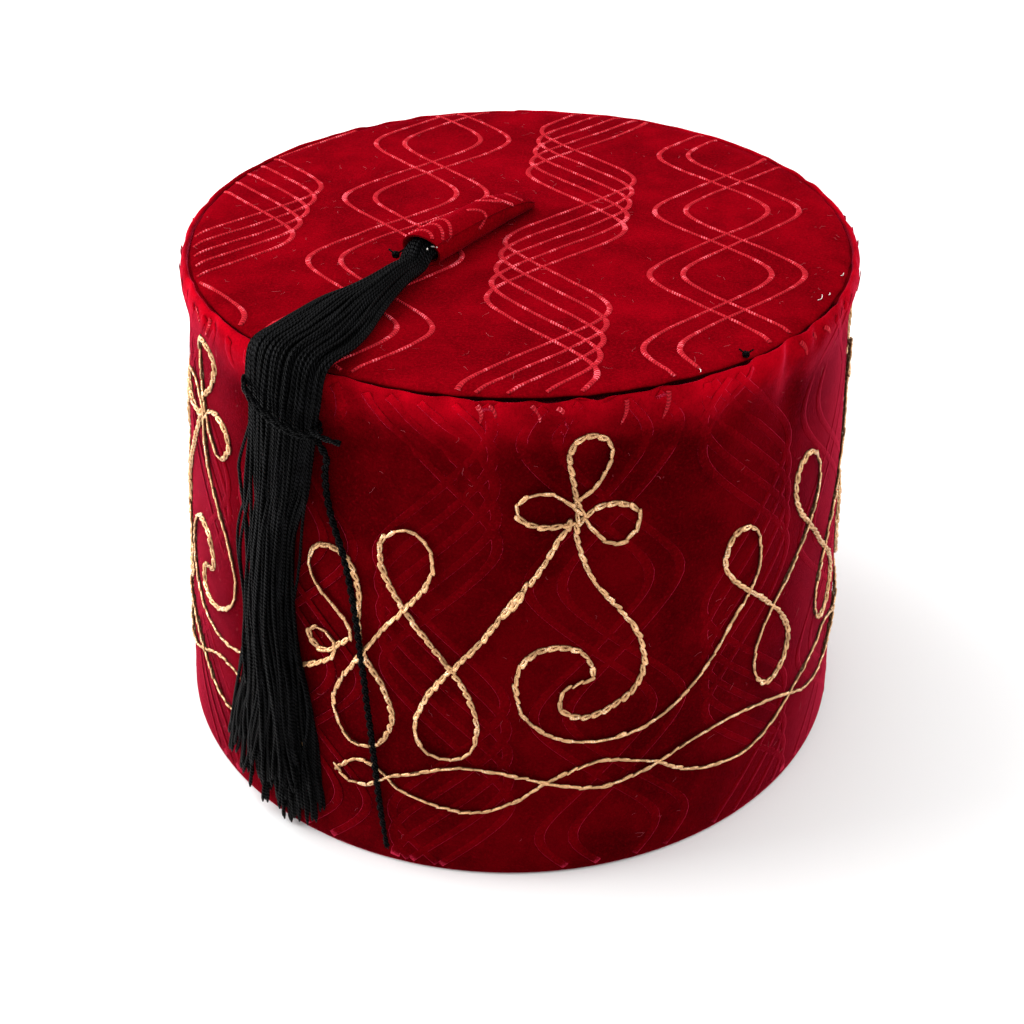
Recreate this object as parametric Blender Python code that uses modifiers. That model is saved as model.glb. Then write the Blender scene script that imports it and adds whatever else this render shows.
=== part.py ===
"""A velvet fez with a black tassel, standing on its open base.

Metres, +Z up. The origin is on the floor, in the middle of the base. Azimuths are in degrees from the
front, which is -Y, and grow towards +X. A run along the hat is negative on the crown, as a share of the
crown's radius in from its edge, and positive down the wall, as a share of the height.
"""

import math

import bmesh
import bpy
from mathutils import Vector

# Side wall
HEIGHT = 0.134
BASE_RADIUS = 0.093
CROWN_RADIUS = 0.0825
RIM_BULGE = 0.0025
RIM_RADIUS = CROWN_RADIUS + RIM_BULGE
RIM_DROP = 0.0046
NECK_DEPTH = 0.0012
NECK_RADIUS = RIM_RADIUS - NECK_DEPTH
NECK_DROP = 0.0149
RIM_TOP_DROP = 0.0007
LEAN = 0.0025
WALL = 0.0025
HEM_ROUNDING = 0.0008
LIP_WIDTH = 0.0055
WALL_STEPS = 96
WALL_LEVELS = 7
RIM_LEVELS = 4
INNER_LEVELS = 3
PUCKER_MIDDLE = 0.33  # how far up from the neck to the crown the puckers are deepest

# Crown
CROWN_THICKNESS = 0.0023
CROWN_ROUNDING = 0.0007
SEAM_GAP = 0.0004
SEAM_ROUNDING = 0.0004

CLEARANCE = 0.0003

# Sleeve that the tassel comes out of
SLEEVE_LENGTH = 0.045
SLEEVE_DIAMETER = 0.0094
SLEEVE_WALL = 0.0013
SLEEVE_AZIMUTH = -44.9
SLEEVE_REACH = 0.402  # of the crown's radius, from its middle to the mouth
SLEEVE_HEADING = -35.3
SLEEVE_SOCKET = 0.009
SLEEVE_SIDES = 16

# Tassel
TASSEL_WIDTH = 0.0225
TASSEL_THICKNESS = 0.0050
RIDGE_HEIGHT = 0.00035
RIDGES = 11
HEAD_SIDES = 44
LOCK_WIDTH = 0.0064
LOCK_THICKNESS = 0.0030
LOCK_SIDES = 8
LOCK_LEVELS = 9
LOCKS_FROM = 0.15  # run where the locks leave the head
LAYER_STEP = 0.62  # of a lock's thickness, from one layer to the next
SPREAD_POWER = 1.6  # how late a lock leaves its straight way down
SETTLED_AT = 0.45  # how far down a lock comes to lie on the wall
CORNER_FROM, CORNER_TO = -0.05, 0.05  # runs where a strand bends over the rim
NEARBY = 0.02  # how far ahead and behind a direction is taken, as a share of a row or a lock

# Tie round the tassel
TIE_DIAMETER = 0.0010
TIE_RUN = 0.072
TIE_SLANT = 0.0018
TIE_POINTS = 30

# Loose tail of the cord
CORD_DIAMETER = 0.0015
CORD_SPACING = 0.0035
CORD_STEPS = 40

# Where the wall is drawn in by its stitches: azimuth, half-width in degrees, depth as a share of the wall,
# and how far down it is felt, as a share of the drop to the neck.
PUCKERS = [
    (-118, 5.0, 0.30, 0.9),
    (-84, 4.5, 0.24, 1.0),
    (-24, 4.5, 0.28, 0.8),
    (-8, 4.0, 0.40, 0.9),
    (3, 4.0, 0.34, 0.7),
    (16, 5.0, 0.42, 1.1),
    (33, 4.5, 0.28, 0.8),
    (47, 5.0, 0.40, 1.2),
    (71, 4.5, 0.26, 0.9),
    (104, 5.0, 0.32, 1.0),
    (142, 4.5, 0.26, 0.8),
    (-172, 5.0, 0.32, 1.1),
    (-146, 4.5, 0.24, 0.9),
]

# Soft hollows of the wall: azimuth, height as a share of the hat's, half-width in degrees, half-height
# as a share of the hat's height, depth as a share of the wall.
DENTS = [
    (40, 0.80, 13, 0.11, 0.26),
    (14, 0.72, 16, 0.12, 0.16),
    (-70, 0.55, 15, 0.16, 0.20),
    (86, 0.45, 16, 0.18, 0.22),
    (150, 0.60, 18, 0.20, 0.24),
    (-135, 0.40, 17, 0.18, 0.20),
]

# Corners inside the wall under the lip: in from the rim and down from the seat, as shares of the wall.
INNER_CORNERS = [
    (1.2, 1.8),
    (1.7, 1.0),
]

# Sections of the sleeve: how far along it, its width and its height, as shares of its length and diameter.
SLEEVE_SECTIONS = [
    (0.00, 0.30, 0.16),
    (0.03, 0.62, 0.30),
    (0.14, 0.78, 0.58),
    (0.38, 0.88, 0.84),
    (0.72, 0.95, 0.96),
    (0.96, 1.00, 1.00),
    (1.00, 0.97, 0.97),
]

# Sections of the tassel's head from the sleeve's mouth on: azimuth, run, width and thickness as shares of
# the tassel's, and its height over the hat, as a share of the room that the tie needs under it.
HEAD_SECTIONS = [
    (-41.6, -0.530, 0.33, 1.20, 0.15),
    (-40.1, -0.455, 0.36, 1.28, 0.05),
    (-38.5, -0.339, 0.54, 1.26, 0.00),
    (-37.8, -0.245, 0.75, 1.22, 0.00),
    (-36.6, -0.150, 0.91, 1.14, 0.00),
    (-35.9, -0.065, 0.99, 1.04, 0.10),
    (-35.7, 0.000, 1.00, 0.98, 0.40),
    (-35.8, 0.040, 0.97, 0.96, 0.80),
    (-36.3, 0.072, 0.92, 0.96, 1.00),
    (-37.0, 0.120, 0.88, 1.00, 1.00),
    (-37.6, 0.180, 0.84, 0.96, 0.90),
    (-38.4, 0.240, 0.76, 0.85, 0.80),
    (-39.2, 0.300, 0.60, 0.50, 0.80),
]

# Middle line of the hanging locks: run and azimuth.
HANGING = [
    (0.100, -36.8),
    (0.200, -37.7),
    (0.366, -40.2),
    (0.520, -40.9),
    (0.680, -39.4),
    (0.810, -38.8),
    (0.900, -37.6),
    (1.000, -36.8),
]

# The locks: where each leaves the head and where it ends, sideways as shares of half the tassel's width,
# the height of its end as a share of the hat's, its layer over the wall and its size as a share.
LOCKS = [
    (-0.58, -2.05, 0.090, 0.0, 0.50),
    (-0.62, -1.60, 0.070, 0.0, 0.60),
    (-0.55, -1.05, 0.050, 0.0, 0.80),
    (-0.36, -0.60, 0.040, 0.0, 0.95),
    (-0.12, -0.20, 0.022, 0.0, 1.00),
    (0.12, 0.10, 0.020, 0.0, 1.00),
    (0.36, 0.32, 0.036, 0.0, 0.95),
    (0.54, 0.64, 0.070, 0.0, 0.80),
    (0.60, 0.98, 0.100, 0.0, 0.55),
    (-0.42, -0.85, 0.120, 0.8, 0.80),
    (-0.20, -0.38, 0.100, 0.9, 0.95),
    (0.05, -0.06, 0.075, 1.0, 1.00),
    (0.28, 0.22, 0.110, 0.9, 0.95),
    (0.46, 0.52, 0.150, 0.8, 0.75),
]

# How thick a lock is along it: how far down, and the share of its size.
LOCK_TAPER = [
    (0.00, 0.80),
    (0.20, 0.96),
    (0.55, 1.00),
    (0.82, 0.86),
    (0.95, 0.62),
    (1.00, 0.30),
]

# The tail cord's route: azimuth, height, and how far its middle is from the wall.
CORD_ROUTE = [
    (-29.2, 0.1145, 0.0034),
    (-29.7, 0.1108, 0.0026),
    (-30.0, 0.1068, 0.0019),
    (-29.9, 0.1025, 0.0014),
    (-29.3, 0.0980, 0.0012),
    (-28.3, 0.0932, 0.0011),
    (-27.1, 0.0880, 0.0011),
    (-26.2, 0.0820, 0.0011),
    (-25.4, 0.0755, 0.0011),
    (-24.8, 0.0690, 0.0011),
    (-24.2, 0.0620, 0.0011),
    (-23.6, 0.0550, 0.0011),
    (-23.1, 0.0480, 0.0011),
    (-22.5, 0.0410, 0.0011),
    (-22.0, 0.0340, 0.0011),
    (-21.5, 0.0270, 0.0011),
    (-21.0, 0.0200, 0.0011),
    (-20.4, 0.0130, 0.0011),
    (-19.7, 0.0064, 0.0012),
]


def ease(share):
    share = min(max(share, 0.0), 1.0)
    return share * share * (3 - 2 * share)


def bell(distance, half_width):
    """A smooth bump, 1 in the middle and 0 from twice the half-width on."""
    return 1 - ease(abs(distance) / (2 * half_width))


def outward(azimuth):
    angle = math.radians(azimuth)
    return Vector((math.sin(angle), -math.cos(angle), 0))


def degrees_between(first, second):
    return (first - second + 180) % 360 - 180


def wall_radius(height):
    neck = HEIGHT - NECK_DROP
    if height < neck:
        return BASE_RADIUS + (NECK_RADIUS - BASE_RADIUS) * height / neck
    return NECK_RADIUS + (RIM_RADIUS - NECK_RADIUS) * ease((height - neck) / (NECK_DROP - RIM_DROP))


def middle_at(height):
    return Vector((LEAN * height / HEIGHT, 0, height))


def wall_point(azimuth, height, out):
    return middle_at(height) + outward(azimuth) * (wall_radius(height) + out)


def hat_surface(azimuth, run):
    """The point of the hat at this run, and the direction that faces away from it there."""
    turned = ease((run - CORNER_FROM) / (CORNER_TO - CORNER_FROM))
    tilt = math.radians(90) * turned
    normal = outward(azimuth) * math.sin(tilt) + Vector((0, 0, math.cos(tilt)))
    height = HEIGHT * (1 - max(run, 0))
    on_crown = CROWN_RADIUS * (1 + min(run, 0))
    radius = on_crown + (wall_radius(height) - on_crown) * turned
    return middle_at(height) + outward(azimuth) * radius, normal


def on_curve(rows, place):
    """The row at this place, counted in rows, on a smooth curve through them all."""
    start = min(max(int(place), 0), len(rows) - 2)
    share = place - start
    before, here, after, later = (rows[min(max(k, 0), len(rows) - 1)] for k in range(start - 1, start + 3))
    values = []
    for a, b, c, d in zip(before, here, after, later):
        bend = (2 * a - 5 * b + 4 * c - d) * share**2
        values.append(0.5 * (2 * b + (c - a) * share + bend + (3 * b - a - 3 * c + d) * share**3))
    return values


def looked_up(rows, key):
    """The second column of the rows where the first one is the key, on a smooth curve."""
    for index, (low, high) in enumerate(zip(rows, rows[1:])):
        if key <= high[0] or high is rows[-1]:
            share = (key - low[0]) / (high[0] - low[0])
            return on_curve(rows, index + min(max(share, 0.0), 1.0))[1]


def material(name, colour, roughness, sheen=0.0):
    made = bpy.data.materials.new(name)
    made.use_nodes = True
    surface = made.node_tree.nodes["Principled BSDF"]
    surface.inputs["Base Color"].default_value = (*colour, 1)
    surface.inputs["Roughness"].default_value = roughness
    surface.inputs["Sheen Weight"].default_value = sheen
    return made


def place(name, mesh, finish, collection):
    item = bpy.data.objects.new(name, mesh)
    item.data.materials.append(finish)
    collection.objects.link(item)
    return item


def evaluated_mesh(item):
    bpy.context.view_layer.update()
    return bpy.data.meshes.new_from_object(item.evaluated_get(bpy.context.evaluated_depsgraph_get()))


def turned(name, profile, closed, finish, collection):
    """A profile of (radius, height) points turned round the hat's axis."""
    mesh = bpy.data.meshes.new(name)
    count = len(profile)
    edges = [(k, (k + 1) % count) for k in range(count if closed else count - 1)]
    mesh.from_pydata([(radius, 0, height) for radius, height in profile], edges, [])
    item = place(name, mesh, finish, collection)
    screw = item.modifiers.new("turn", "SCREW")
    screw.steps = screw.render_steps = WALL_STEPS
    screw.use_merge_vertices = True
    screw.merge_threshold = 0.00001
    item.data = evaluated_mesh(item)
    item.modifiers.clear()
    return item


def finish_mesh(item, smooth_angle=40):
    """Faces out, shaded smooth but for the sharp edges."""
    work = bmesh.new()
    work.from_mesh(item.data)
    bmesh.ops.recalc_face_normals(work, faces=work.faces)
    work.to_mesh(item.data)
    work.free()
    item.data.shade_smooth()
    item.data.set_sharp_from_angle(angle=math.radians(smooth_angle))


def drawn_in(azimuth, height):
    """How far the puckers and dents draw the wall in at this place."""
    neck = HEIGHT - NECK_DROP
    depth = 0.0
    for at, half_width, share, reach in PUCKERS:
        level = bell(height - neck - PUCKER_MIDDLE * NECK_DROP, reach * NECK_DROP / 2)
        depth += share * level * bell(degrees_between(azimuth, at), half_width / 2)
    for at, level, half_width, half_height, share in DENTS:
        across = bell(degrees_between(azimuth, at), half_width / 2)
        depth += share * across * bell(height - level * HEIGHT, half_height * HEIGHT / 2)
    return depth * WALL


def wall_profile():
    """The wall's closed section, from the lip's inner end over the rim, down outside and up inside."""
    shelf = HEIGHT - CROWN_THICKNESS - CLEARANCE
    lip_end = RIM_RADIUS - WALL - LIP_WIDTH
    seam = CROWN_RADIUS + SEAM_GAP
    rim_top, rim, neck = HEIGHT - RIM_TOP_DROP, HEIGHT - RIM_DROP, HEIGHT - NECK_DROP
    profile = [(lip_end, shelf), (seam, shelf), (seam, rim_top - SEAM_ROUNDING)]
    for step in range(RIM_LEVELS):
        angle = math.radians(90) * step / RIM_LEVELS
        out = seam + SEAM_ROUNDING + (RIM_RADIUS - seam - SEAM_ROUNDING) * math.sin(angle)
        profile.append((out, rim + (rim_top - rim) * math.cos(angle)))
    for step in range(RIM_LEVELS):
        height = rim + (neck - rim) * step / RIM_LEVELS
        profile.append((wall_radius(height), height))
    for step in range(WALL_LEVELS):
        height = neck + (HEM_ROUNDING - neck) * step / (WALL_LEVELS - 1)
        profile.append((wall_radius(height), height))
    profile.append((BASE_RADIUS - HEM_ROUNDING, 0))
    profile.append((BASE_RADIUS - WALL, 0))
    for step in range(1, INNER_LEVELS + 1):
        height = neck * step / INNER_LEVELS
        profile.append((wall_radius(height) - WALL, height))
    for inwards, down in INNER_CORNERS:
        profile.append((RIM_RADIUS - inwards * WALL, shelf - down * WALL))
    profile.append((lip_end, shelf - WALL))
    return profile


def make_wall(finish, collection):
    wall = turned("side_wall", wall_profile(), True, finish, collection)
    for vertex in wall.data.vertices:
        x, y, height = vertex.co
        azimuth = math.degrees(math.atan2(x, -y))
        under_crown = math.hypot(x, y) < CROWN_RADIUS + SEAM_GAP + CLEARANCE and height > HEIGHT - NECK_DROP
        depth = 0.0 if under_crown else drawn_in(azimuth, height)
        vertex.co = vertex.co - outward(azimuth) * depth + Vector((LEAN * height / HEIGHT, 0, 0))
    finish_mesh(wall)


def make_crown(finish, collection):
    under = HEIGHT - CROWN_THICKNESS
    profile = [
        (0, HEIGHT),
        (CROWN_RADIUS / 2, HEIGHT),
        (CROWN_RADIUS - CROWN_ROUNDING, HEIGHT),
        (CROWN_RADIUS, HEIGHT - CROWN_ROUNDING),
        (CROWN_RADIUS, under + CROWN_ROUNDING / 2),
        (CROWN_RADIUS - CROWN_ROUNDING, under),
        (0, under),
    ]
    crown = turned("crown_top", profile, False, finish, collection)
    for vertex in crown.data.vertices:
        vertex.co.x += LEAN
    finish_mesh(crown)


def loft(name, rings, finish, collection):
    """A closed skin over rings of as many points each, with a flat face on each end."""
    work = bmesh.new()
    rows = [[work.verts.new(point) for point in ring] for ring in rings]
    for row, following in zip(rows, rows[1:]):
        for k in range(len(row)):
            after = (k + 1) % len(row)
            work.faces.new((row[k], row[after], following[after], following[k]))
    work.faces.new(rows[0])
    work.faces.new(rows[-1])
    mesh = bpy.data.meshes.new(name)
    work.to_mesh(mesh)
    work.free()
    item = place(name, mesh, finish, collection)
    finish_mesh(item)
    return item


def oval(middle, across, up, width, thickness, sides, ridges=0):
    """A ring of points, its width along ACROSS and its thickness along UP."""
    ring = []
    for k in range(sides):
        angle = 2 * math.pi * k / sides
        swell = RIDGE_HEIGHT * math.cos(2 * ridges * angle) if ridges else 0.0
        side = (width / 2 - RIDGE_HEIGHT + swell) if ridges else width / 2
        rise = (thickness / 2 - RIDGE_HEIGHT + swell) if ridges else thickness / 2
        ring.append(middle + across * side * math.cos(angle) + up * rise * math.sin(angle))
    return ring


def sleeve_frame():
    """The middle of the sleeve's mouth on the crown, and the direction that the mouth faces."""
    mouth = middle_at(HEIGHT) + outward(SLEEVE_AZIMUTH) * SLEEVE_REACH * CROWN_RADIUS
    return mouth, outward(SLEEVE_HEADING)


def sleeve_bore():
    """The width of the socket in the sleeve's mouth, and the height of its middle over the crown."""
    last_width = SLEEVE_SECTIONS[-1][1] * SLEEVE_DIAMETER
    return last_width - 2 * SLEEVE_WALL, CLEARANCE + last_width / 2


def make_sleeve(finish, collection):
    mouth, forward = sleeve_frame()
    across = forward.cross(Vector((0, 0, 1)))
    up = Vector((0, 0, 1))
    rings = []
    for along, width, height in SLEEVE_SECTIONS:
        middle = mouth - forward * SLEEVE_LENGTH * (1 - along)
        middle += up * (CLEARANCE + height * SLEEVE_DIAMETER / 2)
        rings.append(
            oval(middle, across, up, width * SLEEVE_DIAMETER, height * SLEEVE_DIAMETER, SLEEVE_SIDES)
        )
    bore, rise = sleeve_bore()
    for depth in (0.0, SLEEVE_SOCKET):
        middle = mouth - forward * depth + up * rise
        rings.append(oval(middle, across, up, bore, bore, SLEEVE_SIDES))
    loft("tassel_sleeve", rings, finish, collection)


def tie_room():
    return TIE_DIAMETER + CLEARANCE


def head_rows():
    """The head's sections as numbers: middle, direction away from the hat, width and thickness."""
    mouth, forward = sleeve_frame()
    bore, rise = sleeve_bore()
    size = bore - 2 * CLEARANCE
    up = Vector((0, 0, 1))
    rows = []
    for along in (CLEARANCE - SLEEVE_SOCKET, -SLEEVE_SOCKET / 2, SLEEVE_WALL):
        rows.append((*(mouth + forward * along + up * rise), *up, size, size))
    for azimuth, run, width, thickness, lift in HEAD_SECTIONS:
        point, normal = hat_surface(azimuth, run)
        thick = thickness * TASSEL_THICKNESS
        middle = point + normal * (CLEARANCE + thick / 2 + lift * tie_room())
        rows.append((*middle, *normal, width * TASSEL_WIDTH, thick))
    return rows


def head_section(rows, at):
    """Middle, sideways, away from the hat, width and thickness of the head at this place."""
    values = on_curve(rows, at)
    middle, normal = Vector(values[0:3]), Vector(values[3:6]).normalized()
    ahead = Vector(on_curve(rows, min(at + NEARBY, len(rows) - 1))[0:3])
    behind = Vector(on_curve(rows, max(at - NEARBY, 0))[0:3])
    along = (ahead - behind).normalized()
    across = along.cross(normal).normalized()
    return middle, across, across.cross(along), values[6], values[7]


def make_head(finish, collection):
    rows = head_rows()
    places = [0, 1, 2] + [2 + k / 2 for k in range(1, 2 * (len(rows) - 3) + 1)]
    rings = []
    for at in places:
        middle, across, up, width, thickness = head_section(rows, at)
        rings.append(oval(middle, across, up, width, thickness, HEAD_SIDES, RIDGES if at > 2 else 0))
    return loft("tassel", rings, finish, collection)


def lock_middle(lock, share):
    """The middle of a lock this far along it, and the direction that faces away from the wall."""
    leaves, ends, end_height, layer, size = lock
    run = LOCKS_FROM + (1 - end_height - LOCKS_FROM) * share
    azimuth = looked_up(HANGING, run)
    sideways = (leaves + (ends - leaves) * max(share, 0) ** SPREAD_POWER) * TASSEL_WIDTH / 2
    height = HEIGHT * (1 - run)
    azimuth += math.degrees(sideways / wall_radius(height))
    settle = 1 - ease(share / SETTLED_AT)
    out = CLEARANCE + size * LOCK_THICKNESS / 2 + layer * LAYER_STEP * LOCK_THICKNESS
    return wall_point(azimuth, height, out + settle * tie_room()), outward(azimuth)


def make_lock(index, lock, finish, collection):
    rings = []
    for step in range(LOCK_LEVELS + 1):
        share = step / LOCK_LEVELS
        middle, normal = lock_middle(lock, share)
        ahead, behind = lock_middle(lock, share + NEARBY)[0], lock_middle(lock, share - NEARBY)[0]
        across = (ahead - behind).cross(normal).normalized()
        size = looked_up(LOCK_TAPER, share) * lock[4]
        rings.append(oval(middle, across, normal, size * LOCK_WIDTH, size * LOCK_THICKNESS, LOCK_SIDES))
    return loft(f"lock_{index:02d}", rings, finish, collection)


def make_tassel(finish, collection, helpers):
    """The head with all its locks fused to it."""
    head = make_head(finish, collection)
    for index, row in enumerate(LOCKS):
        make_lock(index, row, finish, helpers)
    union = head.modifiers.new("fuse", "BOOLEAN")
    union.operation = "UNION"
    union.operand_type = "COLLECTION"
    union.collection = helpers
    fused = evaluated_mesh(head)
    head.modifiers.clear()
    head.data = fused
    for lock in list(helpers.objects):
        bpy.data.objects.remove(lock)


def tube(name, points, diameter, closed, finish, collection):
    curve = bpy.data.curves.new(name, "CURVE")
    curve.dimensions = "3D"
    curve.bevel_depth = diameter / 2
    curve.bevel_resolution = 2
    curve.use_fill_caps = not closed
    spline = curve.splines.new("POLY")
    spline.points.add(len(points) - 1)
    for target, point in zip(spline.points, points):
        target.co = (*point, 1)
    spline.use_cyclic_u = closed
    return place(name, curve, finish, collection)


def make_tie(finish, collection):
    """One turn round the tassel, just clear of its widest section."""
    rows = head_rows()
    runs = [section[1] for section in HEAD_SECTIONS]
    after = next(k for k, run in enumerate(runs) if run > TIE_RUN)
    share = (TIE_RUN - runs[after - 1]) / (runs[after] - runs[after - 1])
    inside = len(rows) - len(runs)
    middle, across, up, width, thickness = head_section(rows, inside + after - 1 + share)
    along = up.cross(across)
    ring = oval(middle, across, up, width + TIE_DIAMETER + 2 * CLEARANCE,
                thickness + TIE_DIAMETER + 2 * CLEARANCE, TIE_POINTS)
    for k, point in enumerate(ring):
        point += along * TIE_SLANT * math.cos(2 * math.pi * k / TIE_POINTS)
    tube("tassel_tie", ring, TIE_DIAMETER, True, finish, collection)


def make_cord(finish, collection):
    """The loose tail, down the wall beside the tassel."""
    rows = [tuple(wall_point(*row)) for row in CORD_ROUTE]
    fine = [Vector(on_curve(rows, k / CORD_STEPS)) for k in range(CORD_STEPS * (len(rows) - 1) + 1)]
    points = [fine[0]]
    for point in fine:
        if (point - points[-1]).length >= CORD_SPACING:
            points.append(point)
    if (fine[-1] - points[-1]).length < CORD_SPACING / 2:
        points.pop()
    points.append(fine[-1])
    tube("tail_cord", points, CORD_DIAMETER, False, finish, collection)


def main():
    for item in list(bpy.data.objects):
        bpy.data.objects.remove(item)
    hat = bpy.data.collections.new("fez_hat")
    helpers = bpy.data.collections.new("helpers")
    for collection in (hat, helpers):
        bpy.context.scene.collection.children.link(collection)
    velvet = material("velvet", (0.26, 0.002, 0.012), 0.75, sheen=0.6)
    rayon = material("black_rayon", (0.008, 0.008, 0.01), 0.42)
    make_wall(velvet, hat)
    make_crown(velvet, hat)
    make_sleeve(velvet, hat)
    make_tassel(rayon, hat, helpers)
    make_tie(rayon, hat)
    make_cord(rayon, hat)
    bpy.data.collections.remove(helpers)


main()
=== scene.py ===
"""Looks of a velvet fez: embossed velvet, gold chain stitch, a sleeve and a black tassel.

Laid out as a Blender add-on and run as a script. Metres, +Z up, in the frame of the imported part.
Azimuths are in degrees from the front, which is -Y, and grow towards +X.
"""

import math
import random

import bpy
import numpy as np
from mathutils import Matrix, Vector


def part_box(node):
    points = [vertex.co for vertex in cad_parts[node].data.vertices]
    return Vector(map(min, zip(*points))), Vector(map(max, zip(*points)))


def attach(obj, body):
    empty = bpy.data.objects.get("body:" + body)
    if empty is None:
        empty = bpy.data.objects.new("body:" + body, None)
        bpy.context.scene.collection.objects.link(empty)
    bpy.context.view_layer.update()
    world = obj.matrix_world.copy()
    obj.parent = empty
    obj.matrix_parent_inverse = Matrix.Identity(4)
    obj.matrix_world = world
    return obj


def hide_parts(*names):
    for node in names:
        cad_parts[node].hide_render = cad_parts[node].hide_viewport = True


bl_info = {
    "name": "Velvet fez",
    "version": (1, 0, 0),
    "blender": (4, 5, 0),
    "location": "View3D > Sidebar > Fez",
    "description": "Makes the velvet, the gold stitches and the tassel of a fez",
    "category": "Object",
}

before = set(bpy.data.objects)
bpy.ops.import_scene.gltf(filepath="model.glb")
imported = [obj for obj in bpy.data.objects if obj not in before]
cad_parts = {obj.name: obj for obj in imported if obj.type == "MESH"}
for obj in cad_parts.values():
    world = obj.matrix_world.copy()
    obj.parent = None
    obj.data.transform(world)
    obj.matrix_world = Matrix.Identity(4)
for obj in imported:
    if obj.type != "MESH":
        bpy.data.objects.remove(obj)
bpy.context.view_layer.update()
BODY = "root"
MM = 0.001


def crown_facts():
    """The crown's radius, its height and how far it stands to the side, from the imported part."""
    low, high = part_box("crown_top")
    return (high.x - low.x) / 2, high.z, (high.x + low.x) / 2


# The hat's shape, as the part has it
CROWN_RADIUS, HEIGHT, LEAN = crown_facts()
BASE_RADIUS = 0.093
RIM_RADIUS = CROWN_RADIUS + 0.0025
RIM_DROP = 0.0046
NECK_RADIUS = RIM_RADIUS - 0.0012
NECK_DROP = 0.0149
NECK = HEIGHT - NECK_DROP
WALL = 0.0025
CROWN_THICKNESS = 0.0023
PUCKER_MIDDLE = 0.33
CLEARANCE = 0.0003

# Where the wall is drawn in by its stitches: azimuth, half-width in degrees, depth as a share of the
# wall, and how far down it is felt, as a share of the drop to the neck.
PUCKERS = [
    (-118, 5.0, 0.30, 0.9), (-84, 6.5, 0.20, 1.0), (-24, 4.5, 0.28, 0.8), (-8, 4.0, 0.40, 0.9),
    (3, 4.0, 0.34, 0.7), (16, 5.0, 0.42, 1.1), (33, 4.5, 0.28, 0.8), (47, 5.0, 0.40, 1.2),
    (71, 4.5, 0.26, 0.9), (104, 5.0, 0.32, 1.0), (142, 4.5, 0.26, 0.8), (-172, 5.0, 0.32, 1.1),
    (-146, 4.5, 0.24, 0.9),
]

# Soft hollows of the wall: azimuth, height as a share of the hat's, half-width in degrees, half-height
# as a share of the hat's height, depth as a share of the wall.
DENTS = [
    (40, 0.80, 13, 0.11, 0.26), (14, 0.72, 16, 0.12, 0.16), (-70, 0.55, 15, 0.16, 0.20),
    (86, 0.45, 16, 0.18, 0.22), (150, 0.60, 18, 0.20, 0.24), (-135, 0.40, 17, 0.18, 0.20),
]

# Sharp little gathers right under the seam: azimuth, half-width in degrees, depth, reach down.
GATHERS = [
    (-27, 1.3, 0.0006, 0.006), (-18, 1.5, 0.0007, 0.007), (-11, 1.2, 0.0009, 0.006),
    (-4.5, 1.3, 0.0010, 0.006), (1.5, 1.2, 0.0008, 0.006), (8.5, 1.4, 0.0011, 0.009),
    (13, 1.1, 0.0007, 0.006), (21, 1.4, 0.0011, 0.009), (29, 1.3, 0.0006, 0.006), (38, 1.2, 0.0008, 0.007),
    (46, 1.5, 0.0010, 0.008), (53, 1.2, 0.0007, 0.006), (64, 1.5, 0.0008, 0.008), (79, 1.4, 0.0007, 0.007),
    (95, 1.6, 0.0008, 0.008), (112, 1.4, 0.0007, 0.006), (131, 1.5, 0.0009, 0.008), (149, 1.4, 0.0007, 0.007),
    (168, 1.6, 0.0008, 0.008), (-175, 1.4, 0.0007, 0.006), (-158, 1.5, 0.0009, 0.008),
    (-139, 1.4, 0.0007, 0.007), (-121, 1.5, 0.0008, 0.008), (-102, 1.4, 0.0007, 0.006),
    (-88, 1.8, 0.0004, 0.008), (-70, 1.4, 0.0006, 0.006), (-57, 1.5, 0.0006, 0.006),
]

# Notches where the seam stands open: azimuth, half-width in degrees, how far it opens.
NOTCHES = [
    (8.0, 50.0, 0.0010), (-5.0, 3.2, 0.0011), (3.5, 2.4, 0.0009), (11.5, 3.4, 0.0012), (36.0, 2.2, 0.0005),
    (62.0, 3.5, 0.0007), (122.0, 3.0, 0.0006), (-150.0, 3.0, 0.0006),
]

# Sections of the sleeve: how far along it, its width and its height, as shares of its length and diameter.
SLEEVE_LENGTH = 0.045
SLEEVE_DIAMETER = 0.0094
SLEEVE_AZIMUTH = -44.9
SLEEVE_REACH = 0.402
SLEEVE_HEADING = -35.3
SLEEVE_WALL = 0.0013
SLEEVE_SECTIONS = [
    (0.00, 0.26, 0.10), (0.03, 0.60, 0.26), (0.14, 0.78, 0.56), (0.38, 0.88, 0.84), (0.72, 0.95, 0.96),
    (0.96, 1.00, 1.00), (1.00, 0.98, 0.98),
]

# Sections of the tassel's head from the sleeve's mouth on: azimuth, run (negative on the crown, as a share
# of its radius, positive down the wall, as a share of the height), width and thickness as shares of the
# tassel's, and its height over the hat as a share of the room that the tie needs.
TASSEL_WIDTH = 0.0225
TASSEL_THICKNESS = 0.0050
TIE_ROOM = 0.0013
CORNER = 0.05
HEAD_SECTIONS = [
    (-41.6, -0.530, 0.33, 1.20, 0.15), (-40.1, -0.455, 0.36, 1.28, 0.05), (-38.5, -0.339, 0.54, 1.26, 0.00),
    (-37.8, -0.245, 0.75, 1.22, 0.00), (-36.6, -0.150, 0.91, 1.14, 0.00), (-35.9, -0.065, 0.99, 1.04, 0.10),
    (-35.7, 0.000, 1.00, 0.98, 0.40), (-35.8, 0.040, 0.97, 0.96, 0.80), (-36.3, 0.072, 0.92, 0.96, 1.00),
    (-37.0, 0.120, 0.88, 1.00, 1.00),
]
TIE_SECTION = 8

# Middle line of the hanging threads: run and azimuth.
HANGING = [
    (0.100, -36.8), (0.200, -37.7), (0.366, -40.2), (0.520, -40.9), (0.680, -39.4), (0.810, -39.2),
    (0.900, -38.4), (1.000, -38.0),
]

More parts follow.
